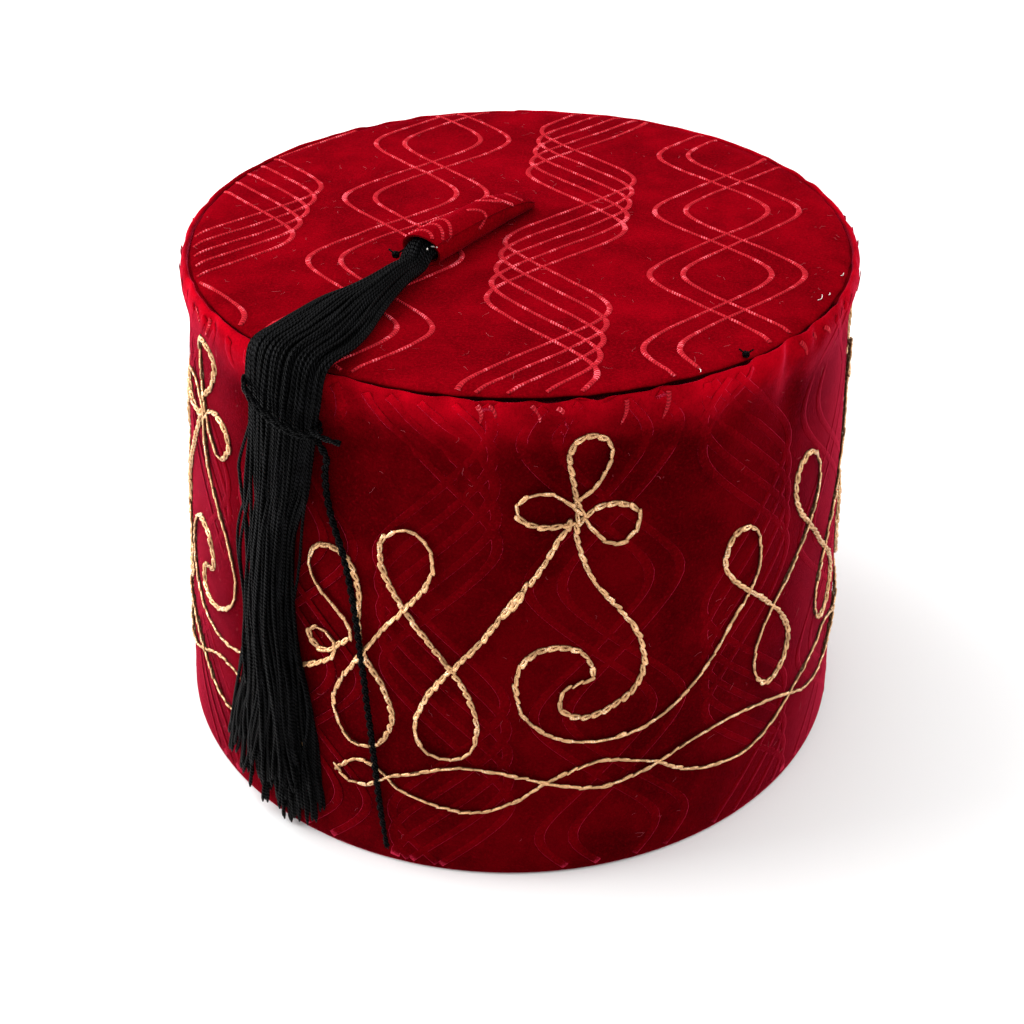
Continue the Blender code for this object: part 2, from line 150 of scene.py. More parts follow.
# The locks: where each leaves the head and where it ends, sideways as shares of half the tassel's width,
# the height of its end as a share of the hat's, its layer over the wall and its size as a share.
LOCKS = [
    (-0.58, -1.95, 0.080, 0.0, 0.50), (-0.62, -1.55, 0.055, 0.0, 0.60), (-0.55, -1.05, 0.060, 0.0, 0.80),
    (-0.36, -0.62, 0.030, 0.0, 0.95), (-0.12, -0.20, 0.022, 0.0, 1.00), (0.12, 0.10, 0.020, 0.0, 1.00),
    (0.36, 0.32, 0.036, 0.0, 0.95), (0.54, 0.62, 0.060, 0.0, 0.80), (0.60, 0.92, 0.085, 0.0, 0.55),
    (-0.42, -0.85, 0.120, 0.8, 0.80), (-0.20, -0.38, 0.100, 0.9, 0.95), (0.05, -0.06, 0.075, 1.0, 1.00),
    (0.28, 0.22, 0.110, 0.9, 0.95), (0.46, 0.52, 0.150, 0.8, 0.75),
]
LOCK_WIDTH = 0.0056
LOCK_THICKNESS = 0.0030

# The tail cord's route, as the part has it: azimuth, height, and how far its middle is from the wall.
CORD_ROUTE = [
    (-29.2, 0.1145, 0.0034), (-29.7, 0.1108, 0.0026), (-30.0, 0.1068, 0.0019), (-29.9, 0.1025, 0.0014),
    (-29.3, 0.0980, 0.0012), (-28.3, 0.0932, 0.0011), (-27.1, 0.0880, 0.0011), (-26.2, 0.0820, 0.0011),
    (-25.4, 0.0755, 0.0011), (-24.8, 0.0690, 0.0011), (-24.2, 0.0620, 0.0011), (-23.6, 0.0550, 0.0011),
    (-23.1, 0.0480, 0.0011), (-22.5, 0.0410, 0.0011), (-22.0, 0.0340, 0.0011), (-21.5, 0.0270, 0.0011),
    (-21.0, 0.0200, 0.0011), (-20.4, 0.0130, 0.0011), (-19.7, 0.0064, 0.0012),
]

# Embroidery: azimuth in degrees and height in millimetres. One unit takes about a fifth of the way
# round, and the first stands at the front.
UNIT_TURNS = [0.0, 75.0, 146.0, 217.0, 288.0]
TOP_LOOP = [
    (8.5, 107.5), (11.5, 111.5), (13.7, 118.5), (12, 123), (9, 123.7), (7.2, 119), (7.8, 112.5), (8.5, 107.5),
]
RIGHT_LOOP = [
    (8.5, 107.5), (11, 100), (15, 95.3), (18.3, 99.5), (17.5, 104), (14, 106.2), (11, 105), (9.2, 102.5),
]
LEFT_LOOP = [
    (7.4, 102), (4.5, 101.6), (1, 103), (-0.4, 106.2), (1, 109.4), (4.2, 110.1), (6.4, 108.6), (8.5, 105.5),
]
RIGHT_STEM = [
    (8.7, 103.5), (8.5, 99), (10, 91), (12, 85), (15, 79), (18, 72), (19.7, 65), (19.8, 60), (18.5, 55),
    (15, 50.5), (10.5, 48.3), (7.5, 50.5), (6.8, 54), (8, 57.5), (11.5, 59.5), (11.2, 64), (9.5, 67.5),
    (6.2, 69.2), (3, 68), (0.8, 64.5), (0, 59), (1, 51), (4, 45.5), (8, 42), (14, 40.7), (20, 42.2),
    (26, 47),
]
CROSSING = [
    (31.5, 55), (36, 64), (40, 72), (41.5, 79), (40.5, 87), (37, 89.5), (34.5, 86.5), (34, 81), (36.5, 75),
    (40, 70), (45, 62.5), (48.5, 56), (50.2, 49), (49, 42), (45.5, 38.8), (42.5, 42), (41.5, 48),
    (42.5, 55), (46, 63), (51, 70), (55.5, 77), (58.5, 84), (59, 90), (57, 96.5), (53.5, 98.5),
    (51, 95.5), (50.5, 90), (52.5, 83), (56, 77), (62, 66), (67, 58), (69.3, 50), (68, 43),
    (65, 40.8), (61.8, 43), (60.6, 49), (61.8, 57), (65, 65), (69, 73), (73.5, 83), (77.5, 90),
    (80.5, 97), (82.4, 102),
]
FRONT_LEFT = [
    (7.4, 102), (5.5, 97), (3, 90), (-0.5, 83), (-5, 72), (-9.5, 63), (-13.5, 54), (-15.3, 45),
    (-14, 38.5), (-10.5, 36.3), (-7, 38.5), (-5.7, 46), (-7, 55), (-10, 63), (-17, 77), (-20.5, 87),
    (-21, 94), (-19, 97.5), (-16.5, 98.8), (-13.8, 96), (-12.8, 90), (-14.5, 83), (-17.5, 77), (-21, 70),
    (-24, 62.5), (-27.5, 54), (-29.2, 46), (-27.5, 38), (-24.5, 35), (-21, 37.5), (-19, 45), (-20.5, 54),
    (-24, 62.5), (-24.8, 72), (-24.7, 79), (-26, 86), (-29, 89.5), (-32, 88.5), (-33.8, 84),
    (-32.5, 78), (-29, 73), (-26.3, 68.5), (-26.5, 65.5), (-28.5, 62.5), (-30, 60.2), (-32.3, 60.1),
    (-33.8, 62.2), (-33.2, 64.8), (-31.3, 65.3), (-29.5, 63.5), (-29, 60.5), (-30.2, 57.6), (-33.5, 54),
    (-38, 50.5), (-46, 47),
]
STEM_KNOT = [(0.5, 84.2), (-0.4, 82.0), (-1.6, 80.0)]
BAND_FIRST = [
    (-28.5, 25.5), (-25, 30), (-21, 28.5), (-17, 23.5), (-7, 20.3), (0, 24), (5, 30), (10, 33.5),
    (14, 34.6), (19, 32.5), (22.5, 30.5), (28, 25), (34, 22), (40, 21), (45, 23), (52, 28.5), (56, 31.5),
    (63, 34), (68, 35.2),
]
BAND_SECOND = [
    (-28.5, 25.5), (-26.5, 23), (-23, 23.5), (-19.5, 27.5), (-15, 30.5), (-9, 33.8), (-3, 33.5),
    (2, 31.5), (5, 30), (13, 27), (19, 28.5), (23, 30.5), (28, 33.5), (35, 35.2), (41, 34.5), (47, 32),
    (52, 28.5), (57, 25), (63, 23.6), (68, 25),
]
BAND_MIDDLE, BAND_SWING = 28.4, 6.6  # height of the band's middle and how far its waves swing, in mm
BAND_TURNS = [
    (92, 1), (116, -1), (140, 1), (164, -1), (188, 1), (212, -1), (236, 1), (260, -1), (284, 1), (304, -1),
]
BAND_ENDS = [(316, 27), (322, 31.5), (325, 28.2)]

# Wave lines of the cloth on the crown: a column's middle where it crosses y = 0, its slant, where it
# turns to the right, and the distance from one right turn to the next.
SWING = 14.6
CROWN_HELIXES = [(12.0 * MM, 0.141, 14 * MM, 73.6 * MM), (-70.6 * MM, 0.141, 9.5 * MM, 73.6 * MM)]
CROWN_CHAINS = [(-30.2 * MM, 0.154, 20 * MM, 74.6 * MM), (52.2 * MM, 0.109, 10 * MM, 73.4 * MM)]
HELIX_SHIFTS = [-15 * MM, -7.5 * MM, 0.0, 7.5 * MM, 15 * MM]
PAIR_OFFSET = 4 * MM
WALL_COLUMNS = 14
TURN_SHARPNESS = 0.86

# Threads left on the velvet: azimuth on the crown's edge, share of the crown's radius, heading, length.
WHITE_BITS = [
    (60.6, 0.968, 62, 0.0026), (63.0, 0.980, 75, 0.0010), (71.0, 0.985, 60, 0.0014),
    (28.0, 0.990, 100, 0.0014), (-34.0, 0.985, 70, 0.0018),
]


def colour_setting(name, description, default):
    return bpy.props.FloatVectorProperty(name=name, description=description, subtype="COLOR", size=3,
                                         min=0, max=1, default=default)


def length_setting(name, description, default):
    return bpy.props.FloatProperty(name=name, description=description, unit="LENGTH", default=default)


class FezSettings(bpy.types.PropertyGroup):
    """Sizes and colours of the fez that a user would change."""

    # The crown's velvet is the wall's cloth in a lighter copy: painted light, for the stronger light that falls on the
    # top. The sleeve and the rim's top take it too.
    wall_colour: colour_setting("Wall velvet", "Deep red of the side wall", (0.062, 0.0001, 0.0010))
    crown_colour: colour_setting(
        "Crown velvet", "Red of the crown, its nap brushed towards the light", (0.150, 0.0002, 0.0025))
    line_colour: colour_setting("Wave lines", "Satin lines woven into the velvet", (0.600, 0.021, 0.034))
    gold_colour: colour_setting("Gold yarn", "Colour of the gold yarn", (1.0, 0.56, 0.26))
    rayon_colour: colour_setting(
        "Tassel threads", "Black of the tassel, its tie and the tail cord", (0.0020, 0.0020, 0.0023))
    floor_colour: colour_setting("Floor", "Colour of the floor", (0.87, 0.87, 0.87))
    stitch_pitch: length_setting("Stitch pitch", "Distance from one chain stitch to the next", 0.0027)
    stitch_width: length_setting("Stitch width", "Width of the chain of gold stitches", 0.00158)
    yarn: length_setting("Gold yarn thickness", "Diameter of one gold yarn", 0.00078)
    thread: length_setting("Tassel thread", "Diameter of one thread of the tassel", 0.00080)
    thread_twist: length_setting("Thread twist", "Length of one turn of a tassel thread", 0.0022)
    threads_a_lock: bpy.props.IntProperty(
        name="Threads a lock", description="How many threads hang in each lock", default=13, min=3, max=20)
    line_height: length_setting("Line height", "How far a wave line stands over the crown", 0.00042)
    wrinkle: length_setting("Wrinkles", "Depth of the soft wrinkles of the wall", 0.00030)
    lint: bpy.props.IntProperty(
        name="Lint", description="How many loose fibres lie on the velvet", default=620, min=0, max=2000)


def settings():
    return bpy.context.scene.fez


# Shape of the hat


def ease(share):
    share = np.clip(share, 0.0, 1.0)
    return share * share * (3 - 2 * share)


def bell(distance, half_width):
    """A smooth bump, 1 in the middle and 0 from twice the half-width on."""
    return 1 - ease(np.abs(distance) / (2 * half_width))


def degrees_between(first, second):
    return (first - second + 180) % 360 - 180


def outward(azimuth):
    angle = np.radians(azimuth)
    return np.stack([np.sin(angle), -np.cos(angle), np.zeros_like(angle)], -1)


def wall_radius(height):
    low = BASE_RADIUS + (NECK_RADIUS - BASE_RADIUS) * height / NECK
    high = NECK_RADIUS + (RIM_RADIUS - NECK_RADIUS) * ease((height - NECK) / (NECK_DROP - RIM_DROP))
    return np.where(height < NECK, low, high)


def soft_noise(a, b, seed, octaves=5):
    """A smooth field from -1 to 1 over two lengths counted in its waves, the same on every run."""
    draw = random.Random(seed)
    total = np.zeros(np.broadcast(a, b).shape)
    for k in range(octaves):
        turn, phase, bend = draw.uniform(0, math.pi), draw.uniform(0, 6.28), draw.uniform(0.7, 1.5)
        along = (a * math.cos(turn) + b * math.sin(turn)) * bend
        aside = (b * math.cos(turn) - a * math.sin(turn)) * draw.uniform(0.2, 0.6)
        total += np.sin(6.28 * along + phase + 1.3 * np.sin(6.28 * aside + 2 * phase))
    return total / octaves


def drawn_in(azimuth, height):
    """How far puckers, gathers, dents and wrinkles draw the wall in."""
    depth = np.zeros(np.broadcast(azimuth, height).shape)
    for at, half_width, share, reach in PUCKERS:
        level = bell(height - NECK - PUCKER_MIDDLE * NECK_DROP, reach * NECK_DROP / 2)
        depth += WALL * share * level * bell(degrees_between(azimuth, at), half_width / 2)
    for at, half_width, deep, reach in GATHERS:
        level = ease(1 - (HEIGHT - RIM_DROP / 2 - height) / reach)
        crooked = degrees_between(azimuth, at) + 0.5 * (HEIGHT - height) / MM * 0.1
        depth += (1.5 if abs(at) < 60 else 0.8) * deep * level * bell(crooked, half_width)
    for at, level, half_width, half_height, share in DENTS:
        across = bell(degrees_between(azimuth, at), half_width / 2)
        depth += WALL * share * across * bell(height - level * HEIGHT, half_height * HEIGHT / 2)
    middle = ease(height / 0.012) * ease((HEIGHT - 0.006 - height) / 0.02)
    around = np.round(azimuth / 360.0, 12) * 14
    slanting = soft_noise(around * 1.0 + height / 0.055, height / 0.09, 5, 7)
    broad = soft_noise(around * 0.5, height / 0.12, 11, 4)
    return depth + settings().wrinkle * middle * (0.8 * slanting + 1.1 * broad)


def seam_open(azimuth):
    return sum(wide * bell(degrees_between(azimuth, at), half_width / 2) for at, half_width, wide in NOTCHES)


def wall_point(azimuth, height, out=0.0):
    """Points of the velvet wall at these azimuths and heights."""
    azimuth, height, out = np.broadcast_arrays(np.asarray(azimuth, float), np.asarray(height, float), out)
    radius = wall_radius(height) + out - drawn_in(azimuth, height)
    points = outward(azimuth) * radius[..., None]
    points[..., 0] += LEAN * height / HEIGHT
    points[..., 2] = height
    return points


def crown_rise(x, y):
    """How far the crown's velvet stands over its flat height."""
    away = np.hypot(x, y) / CROWN_RADIUS
    billow = 0.00022 * soft_noise(x / 0.05, y / 0.05, 3, 5)
    billow = billow + 0.00012 * soft_noise(x / 0.016, y / 0.016, 4, 5)
    azimuth = np.degrees(np.arctan2(x, -y))
    lifted = 0.0004 * soft_noise(azimuth / 40, azimuth / 55, 8, 4) * ease((away - 0.9) / 0.1)
    curl = 0.0007 * ease((away - 0.955) / 0.045)
    return billow * (1 - ease((away - 0.93) / 0.07)) + lifted * 0.4 - curl


def crown_point(x, y, out=0.0):
    """Points of the crown's velvet, x and y from its middle."""
    x, y, out = np.broadcast_arrays(np.asarray(x, float), np.asarray(y, float), out)
    return np.stack([x + LEAN, y, HEIGHT + crown_rise(x, y) + out], -1)


def hat_surface(azimuth, run):
    """The point of the hat at this run, and the direction that faces away from it there."""
    turned = float(ease((run + CORNER) / (2 * CORNER)))
    tilt = math.radians(90) * turned
    away = outward(float(azimuth))
    normal = away * math.sin(tilt) + np.array((0, 0, math.cos(tilt)))
    height = HEIGHT * (1 - max(run, 0))
    on_crown = CROWN_RADIUS * (1 + min(run, 0))
    radius = on_crown + (float(wall_radius(height)) - on_crown) * turned
    return np.array((LEAN * height / HEIGHT, 0, height)) + away * radius, normal


# Curves


def unit(vectors):
    return vectors / np.maximum(np.linalg.norm(vectors, axis=-1, keepdims=True), 1e-12)


def smooth_path(points, steps=12):
    """A smooth curve through these points, with this many steps from one to the next."""
    rows = np.asarray(points, float)
    padded = np.vstack([2 * rows[0] - rows[1], rows, 2 * rows[-1] - rows[-2]])
    pieces = []
    share = (np.arange(steps) / steps)[:, None]
    for a, b, c, d in zip(padded, padded[1:], padded[2:], padded[3:]):
        bend = (2 * a - 5 * b + 4 * c - d) * share**2
        pieces.append(0.5 * (2 * b + (c - a) * share + bend + (3 * b - a - 3 * c + d) * share**3))
    return np.vstack([*pieces, rows[-1:]])


def run_along(points):
    """How far along a row of points each of them lies."""
    return np.concatenate([[0], np.cumsum(np.linalg.norm(np.diff(points, axis=0), axis=1))])


def evenly(points, spacing, measured=3):
    """The same curve with its points this far apart, as its first columns measure."""
    run = run_along(points[:, :measured])
    count = max(int(round(run[-1] / spacing)), 2)
    at = np.linspace(0, run[-1], count + 1)
    return np.stack([np.interp(at, run, points[:, k]) for k in range(points.shape[1])], -1)


def directions(points):
    """Tangents along a row of points."""
    return unit(np.gradient(points, axis=0))


def looked_up(rows, key):
    """The other columns of the rows where the first one is the key, on a smooth curve."""
    fine = smooth_path(rows, 10)
    return np.array([np.interp(key, fine[:, 0], fine[:, k]) for k in range(1, fine.shape[1])])


SURFACE_STEP = 0.0002
WALL_SCALE = (645.0, 1.0)  # degrees round the wall that make a metre, and metres of height


def surface_frames(surface, a, b, out=0.0, scale=(1.0, 1.0)):
    """Points on a surface, and the directions away from it there."""
    points = surface(a, b, out)
    along_a = surface(a + SURFACE_STEP * scale[0], b, out) - points
    along_b = surface(a, b + SURFACE_STEP * scale[1], out) - points
    return points, unit(np.cross(along_a, along_b))


# Meshes


class Skein:
    """Swept strands gathered into one mesh. Each point keeps its place round its strand and along it."""

    def __init__(self):
        self.points, self.quads, self.caps, self.marks, self.tones = [], [], [], [], []
        self.count = 0

    def add(self, path, normals, ring, tone=0.0, closed=False):
        """Sweeps a ring of (sideways, up) offsets along the path. The ring may change from point to point."""
        tangents = directions(path)
        side = unit(np.cross(normals, tangents))
        up = np.cross(tangents, side)
        ring = np.asarray(ring, float)
        ring = np.broadcast_to(ring, (len(path), *ring.shape[-2:]))
        rows, sides = ring.shape[:2]
        spread = ring[..., :1] * side[:, None] + ring[..., 1:] * up[:, None]
        self.points.append((path[:, None] + spread).reshape(-1, 3))
        lengths = run_along(path)
        angle = 2 * math.pi * np.arange(sides) / sides
        marks = np.empty((rows, sides, 3))
        marks[..., 0], marks[..., 1], marks[..., 2] = np.cos(angle), np.sin(angle), lengths[:, None]
        self.marks.append(marks.reshape(-1, 3))
        self.tones.append(np.full(rows * sides, tone))
        index = self.count + np.arange(rows * sides).reshape(rows, sides)
        around = np.roll(index, -1, axis=1)
        if closed:
            ahead, far = np.roll(index, -1, axis=0), np.roll(around, -1, axis=0)
            self.quads.append(np.stack([index, around, far, ahead], -1).reshape(-1, 4))
        else:
            self.quads.append(np.stack([index[:-1], around[:-1], around[1:], index[1:]], -1).reshape(-1, 4))
            self.caps += [index[0, ::-1].tolist(), index[-1].tolist()]
        self.count += rows * sides

    def copies(self, points, faces, places, tones):
        """Adds a copy of a small mesh at each 4 x 4 placement."""
        solid = np.c_[points, np.ones(len(points))]
        placed = np.einsum("nij,pj->npi", places, solid)[..., :3]
        self.points.append(placed.reshape(-1, 3))
        marks = np.broadcast_to(points / MM, placed.shape)
        self.marks.append(marks.reshape(-1, 3))
        self.tones.append(np.repeat(tones, len(points)))
        start = self.count + np.arange(len(places)) * len(points)
        self.quads.append((faces[None] + start[:, None, None]).reshape(-1, 4))
        self.count += placed.shape[0] * placed.shape[1]

    def piece(self, name, finish):
        mesh = bpy.data.meshes.new(name)
        faces = np.vstack(self.quads).tolist() + self.caps
        mesh.from_pydata(np.vstack(self.points).tolist(), [], faces)
        mark = mesh.attributes.new("strand", "FLOAT_VECTOR", "POINT")
        mark.data.foreach_set("vector", np.vstack(self.marks).ravel())
        tone = mesh.attributes.new("tone", "FLOAT", "POINT")
        tone.data.foreach_set("value", np.concatenate(self.tones))
        piece = bpy.data.objects.new(name, mesh)
        bpy.context.scene.collection.objects.link(piece)
        mesh.materials.append(finish)
        return piece


def circle_ring(sides, radius, flat=1.0):
    angle = 2 * math.pi * np.arange(sides) / sides
    return np.stack([radius * np.cos(angle), radius * flat * np.sin(angle)], -1)


PLIES = 2
PLY_SHARE = 0.285  # a ply's radius as a share of the cord's diameter


def twisted(skein, path, normals, diameter, turn, sides=7, tone=0.0, taper=None):
    """A cord of two plies twisted round each other."""
    run = run_along(path)
    tangents = directions(path)
    side = unit(np.cross(normals, tangents))
    up = np.cross(tangents, side)
    size = np.ones(len(path)) if taper is None else taper
    ply = diameter * PLY_SHARE
    for k in range(PLIES):
        angle = 2 * math.pi * (run / turn + k / PLIES)
        offset = (diameter / 2 - ply) * size
        line = path + (side * np.cos(angle)[:, None] + up * np.sin(angle)[:, None]) * offset[:, None]
        ring = circle_ring(sides, ply)[None] * size[:, None, None]
        skein.add(line, side * 0.3 + up, ring, tone + 0.1 * k)


def primitive(add, **how):
    """Adds a primitive with nothing else selected, and returns it."""
    if bpy.context.object and bpy.context.object.mode != "OBJECT":
        bpy.ops.object.mode_set(mode="OBJECT")
    bpy.ops.object.select_all(action="DESELECT")
    add(**how)
    return bpy.context.object


def ring_tower(name, sides, profile, poles=False):
    """A circle drawn out ring by ring through a profile of (radius, height) points."""
    start_radius, start_height = profile[0]
    tower = primitive(bpy.ops.mesh.primitive_circle_add, vertices=sides, radius=start_radius,
                      location=(0, 0, start_height))
    tower.name = name
    bpy.ops.object.mode_set(mode="EDIT")
    bpy.ops.mesh.select_all(action="SELECT")
    for (radius, height), (next_radius, next_height) in zip(profile, profile[1:]):
        bpy.ops.mesh.extrude_region_move(TRANSFORM_OT_translate={"value": (0, 0, next_height - height)})
        grow = next_radius / radius
        bpy.ops.transform.resize(value=(grow, grow, 1), center_override=(0, 0, next_height))
    if poles:
        bpy.ops.mesh.merge(type="COLLAPSE")
        bpy.ops.mesh.select_all(action="DESELECT")
        bpy.ops.mesh.select_non_manifold()
        bpy.ops.mesh.merge(type="COLLAPSE")
        bpy.ops.mesh.select_all(action="SELECT")
        bpy.ops.mesh.normals_make_consistent(inside=False)
    bpy.ops.object.mode_set(mode="OBJECT")
    bpy.ops.object.transform_apply()
    return tower


def close_ring(tower):
    """Joins the last ring of a tower to its first, which lie close together."""
    bpy.ops.object.mode_set(mode="EDIT")
    bpy.ops.mesh.select_all(action="SELECT")
    bpy.ops.mesh.remove_doubles(threshold=0.00001)
    bpy.ops.mesh.normals_make_consistent(inside=False)
    bpy.ops.object.mode_set(mode="OBJECT")
    return tower


def subdivide_piece(piece, levels):
    finer = piece.modifiers.new("finer", "SUBSURF")
    finer.levels = finer.render_levels = levels
    bpy.context.view_layer.objects.active = piece
    bpy.ops.object.modifier_apply(modifier=finer.name)


def mesh_points(piece):
    points = np.empty(len(piece.data.vertices) * 3)
    piece.data.vertices.foreach_get("co", points)
    return points.reshape(-1, 3)


def move_points(piece, points):
    piece.data.vertices.foreach_set("co", np.asarray(points, float).ravel())
    piece.data.update()


def mark_points(piece, name, values):
    """Keeps a value at each point of a piece, for its finish to read."""
    piece.data.attributes.new(name, "FLOAT", "POINT").data.foreach_set("value", np.asarray(values, float))


def dress(piece, slot, *nodes, finish=None):
    """Gives a finished piece its body and smooth shading, and hides the CAD nodes that it stands for. The slot is not
    used.
    """
    if finish is not None:
        piece.data.materials.clear()
        piece.data.materials.append(finish)
    piece.data.shade_smooth()
    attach(piece, BODY)
    if nodes:
        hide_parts(*nodes)
    return piece


# Finishes


class Value:
    """A socket that adds, multiplies and compares like a number."""

    def __init__(self, tree, socket):
        self.tree, self.socket = tree, socket

    def maths(self, operation, *others, clamped=False):
        node = self.tree.nodes.new("ShaderNodeMath")
        node.operation, node.use_clamp = operation, clamped
        for target, value in zip(node.inputs, (self, *others)):
            if isinstance(value, Value):
                self.tree.links.new(value.socket, target)
            else:
                target.default_value = value
        return Value(self.tree, node.outputs[0])

    def __add__(self, other):
        return self.maths("ADD", other)

    def __sub__(self, other):
        return self.maths("SUBTRACT", other)

    def __rsub__(self, other):
        return self.maths("MULTIPLY", -1.0) + other

    def __mul__(self, other):
        return self.maths("MULTIPLY", other)

    def __truediv__(self, other):
        return self.maths("DIVIDE", other)

    def __abs__(self):
        return self.maths("ABSOLUTE")

    __radd__, __rmul__ = __add__, __mul__

    def sine(self):
        return self.maths("SINE")

    def power(self, exponent):
        return self.maths("POWER", exponent)

    def clipped(self):
        return self.maths("ADD", 0.0, clamped=True)

    def over(self, low, high):
        """0 below LOW, 1 above HIGH and smooth between them."""
        share = ((self - low) / (high - low)).clipped()
        return share * share * (3.0 - 2.0 * share)


class Finish:
    """A material made of nodes round one Principled surface."""

    def __init__(self, name):
        self.material = bpy.data.materials.new(name)
        self.material.use_nodes = True
        self.tree = self.material.node_tree
        self.surface = self.tree.nodes["Principled BSDF"]

    def node(self, kind, chosen=None, output=0, **sockets):
        """A node of this type, with its settings chosen first and its sockets set by name or number."""
        node = self.tree.nodes.new(kind)
        for name, value in (chosen or {}).items():
            setattr(node, name, value)
        self.fill(node, {name.replace("_", " "): value for name, value in sockets.items()})
        return Value(self.tree, node.outputs[output])

    def fill(self, node, sockets):
        for name, value in sockets.items():
            target = node.inputs[int(name[1:])] if name[1:].isdigit() else node.inputs[name]
            if isinstance(value, Value):
                self.tree.links.new(value.socket, target)
            else:
                target.default_value = value

    def place(self):
        return self.node("ShaderNodeTexCoord", output="Object")

    def noise(self, scale, detail=2.0, rough=0.5):
        return self.node("ShaderNodeTexNoise", Vector=self.place(), Scale=scale, Detail=detail, Roughness=rough)

    def mark(self, name, output="Fac"):
        return self.node("ShaderNodeAttribute", {"attribute_name": name}, output=output)

    def parts(self, vector):
        split = self.tree.nodes.new("ShaderNodeSeparateXYZ")
        self.tree.links.new(vector.socket, split.inputs[0])
        return [Value(self.tree, socket) for socket in split.outputs]

    def mix(self, share, first, second):
        """One colour turning into the other."""
        colours = [(*c, 1.0) if isinstance(c, (tuple, list)) and len(c) == 3 else c for c in (first, second)]
        node = self.tree.nodes.new("ShaderNodeMix")
        node.data_type = "RGBA"
        self.fill(node, {"n0": share, "n6": colours[0], "n7": colours[1]})
        return Value(self.tree, node.outputs[2])

    def bump(self, height, distance, strength):
        return self.node("ShaderNodeBump", Height=height, Distance=distance, Strength=strength)

    def done(self, **sockets):
        self.fill(self.surface, {name.replace("_", " "): value for name, value in sockets.items()})
        return self.material


def shade(colour, factor):
    return tuple(min(c * factor, 1.0) for c in colour)


def tint(name):
    """The colour that the settings hold under this name."""
    return tuple(getattr(settings(), name + "_colour"))


def known(name, make, *values):
    """A finish that several pieces share, made once."""
    return bpy.data.materials.get(name) or make(name, *values)


def velvet(name, colour, glow, brushed, sheen, painted_top_light=None):
    """Pile cloth: brushed patches, fine speckle of the pile's tips and a soft sheen.

    Near the top of the wall the cloth turns into a lighter colour given for the top, up to three times as light:
    painted light, for the light that falls on the rim from above. A point attribute, marked by the wall and the crown
    at their seam, paints shade, near black, in the gap of the seam."""
    f = Finish(name)
    patches = f.noise(38, 4, 0.62).over(0.36, 0.66)
    streaks = f.noise(120, 3, 0.55).over(0.35, 0.70)
    tips = f.noise(1500, 3, 0.7)
    crumbs = f.noise(4200, 2, 0.6)
    lit = (0.26 + brushed * patches * 0.45 + streaks * 0.22 + (tips - 0.5) * 1.3).clipped()
    base = f.mix(lit, shade(colour, 0.50), shade(colour, 1.55))
    # Painted light: towards the top of the wall the colour turns into a copy of the top colour, 1.05 to 3 times as
    # light, for the light falling on the rim.
    if painted_top_light:
        rise = f.parts(f.place())[2] + f.noise(60, 3, 0.6) * 0.016 - 0.008
        base = f.mix(rise.over(HEIGHT - 0.018, HEIGHT + 0.001).power(1.3), base, f.mix(
            lit, shade(painted_top_light, 1.05), shade(painted_top_light, 3.0)))
    base = f.mix(tips.over(0.54, 0.74) * 0.5, base, glow)
    base = f.mix(crumbs.over(0.60, 0.78) * 0.25, base, shade(glow, 1.3))
    # Painted shade: the cloth turns near black where the seam's gap lies in shadow.
    base = f.mix(f.mark("fold"), base, (0.006, 0.0, 0.0002))
    height = tips * 0.6 + crumbs * 0.4
    return f.done(Base_Color=base, Roughness=0.88, Normal=f.bump(height, 0.0004, 0.55),
                  Sheen_Weight=sheen, Sheen_Roughness=0.26, Sheen_Tint=(1.0, 0.045, 0.12, 1.0),
                  Specular_IOR_Level=0.0)


def satin_lines(name, colour, painted_gloss):
    """Raised lines of close slanting stitches."""
    f = Finish(name)
    around, aside, along = f.parts(f.mark("strand", "Vector"))
    wobble = f.noise(900, 2, 0.6)
    stitch = (along * (2 * math.pi / 0.0008) + around * 1.6 + wobble * 3.0).sine() * 0.5 + 0.5
    highlight_patches = f.noise(260, 3, 0.6).over(0.40, 0.66)
    grain = f.noise(2600, 2, 0.6)
    # Painted light and shade: each slanting stitch runs from a dark to a light copy of the colour, lighter in patches
    # of noise.
    base = f.mix((stitch * 0.60 + highlight_patches * 0.40).clipped(), shade(colour, 0.38), shade(colour, 1.15))
    # Painted highlight: pale pink on the stitches' crests where the patches are light.
    base = f.mix((stitch * highlight_patches).over(0.45, 0.90) * painted_gloss, base, (1.0, 0.21, 0.26))
    return f.done(Base_Color=base, Roughness=0.9, Normal=f.bump(stitch * 0.7 + grain * 0.3, 0.0003, 0.8),
                  Specular_IOR_Level=0.0)


def gold_yarn(name, colour):
    """Flat metal yarn wound on a thread, with painted highlights on its crowns and painted shade, dark brown, low in
    each link.
    """
    f = Finish(name)
    tone = f.mark("tone")
    grain = f.noise(1900, 2, 0.6)
    wear_and_glints = f.noise(420, 3, 0.6).over(0.36, 0.68)
    x, y, z = f.parts(f.mark("strand", "Vector"))
    wound = (x * 9.0 + y * 3.0 + grain * 4.0).sine() * 0.5 + 0.5
    raised = z.over(-0.22, 0.30)
    base = f.mix((wear_and_glints * 0.6 + tone * 0.4).clipped(), shade(colour, 0.46), colour)
    # Painted highlight: pale cream on the crowns of the wound yarn where the noise is light.
    base = f.mix((wound * wear_and_glints).over(0.45, 0.95) * 0.75, base, (1.0, 0.84, 0.62))
    # Painted shade: each link turns dark brown towards its low side.
    base = f.mix(raised, shade(colour, 0.15), base)
    rough = (0.38 - wear_and_glints * 0.14 + grain * 0.12)
    return f.done(Base_Color=base, Metallic=0.6, Roughness=rough,
                  Normal=f.bump(wound * 0.6 + grain * 0.4, 0.00012, 0.6))


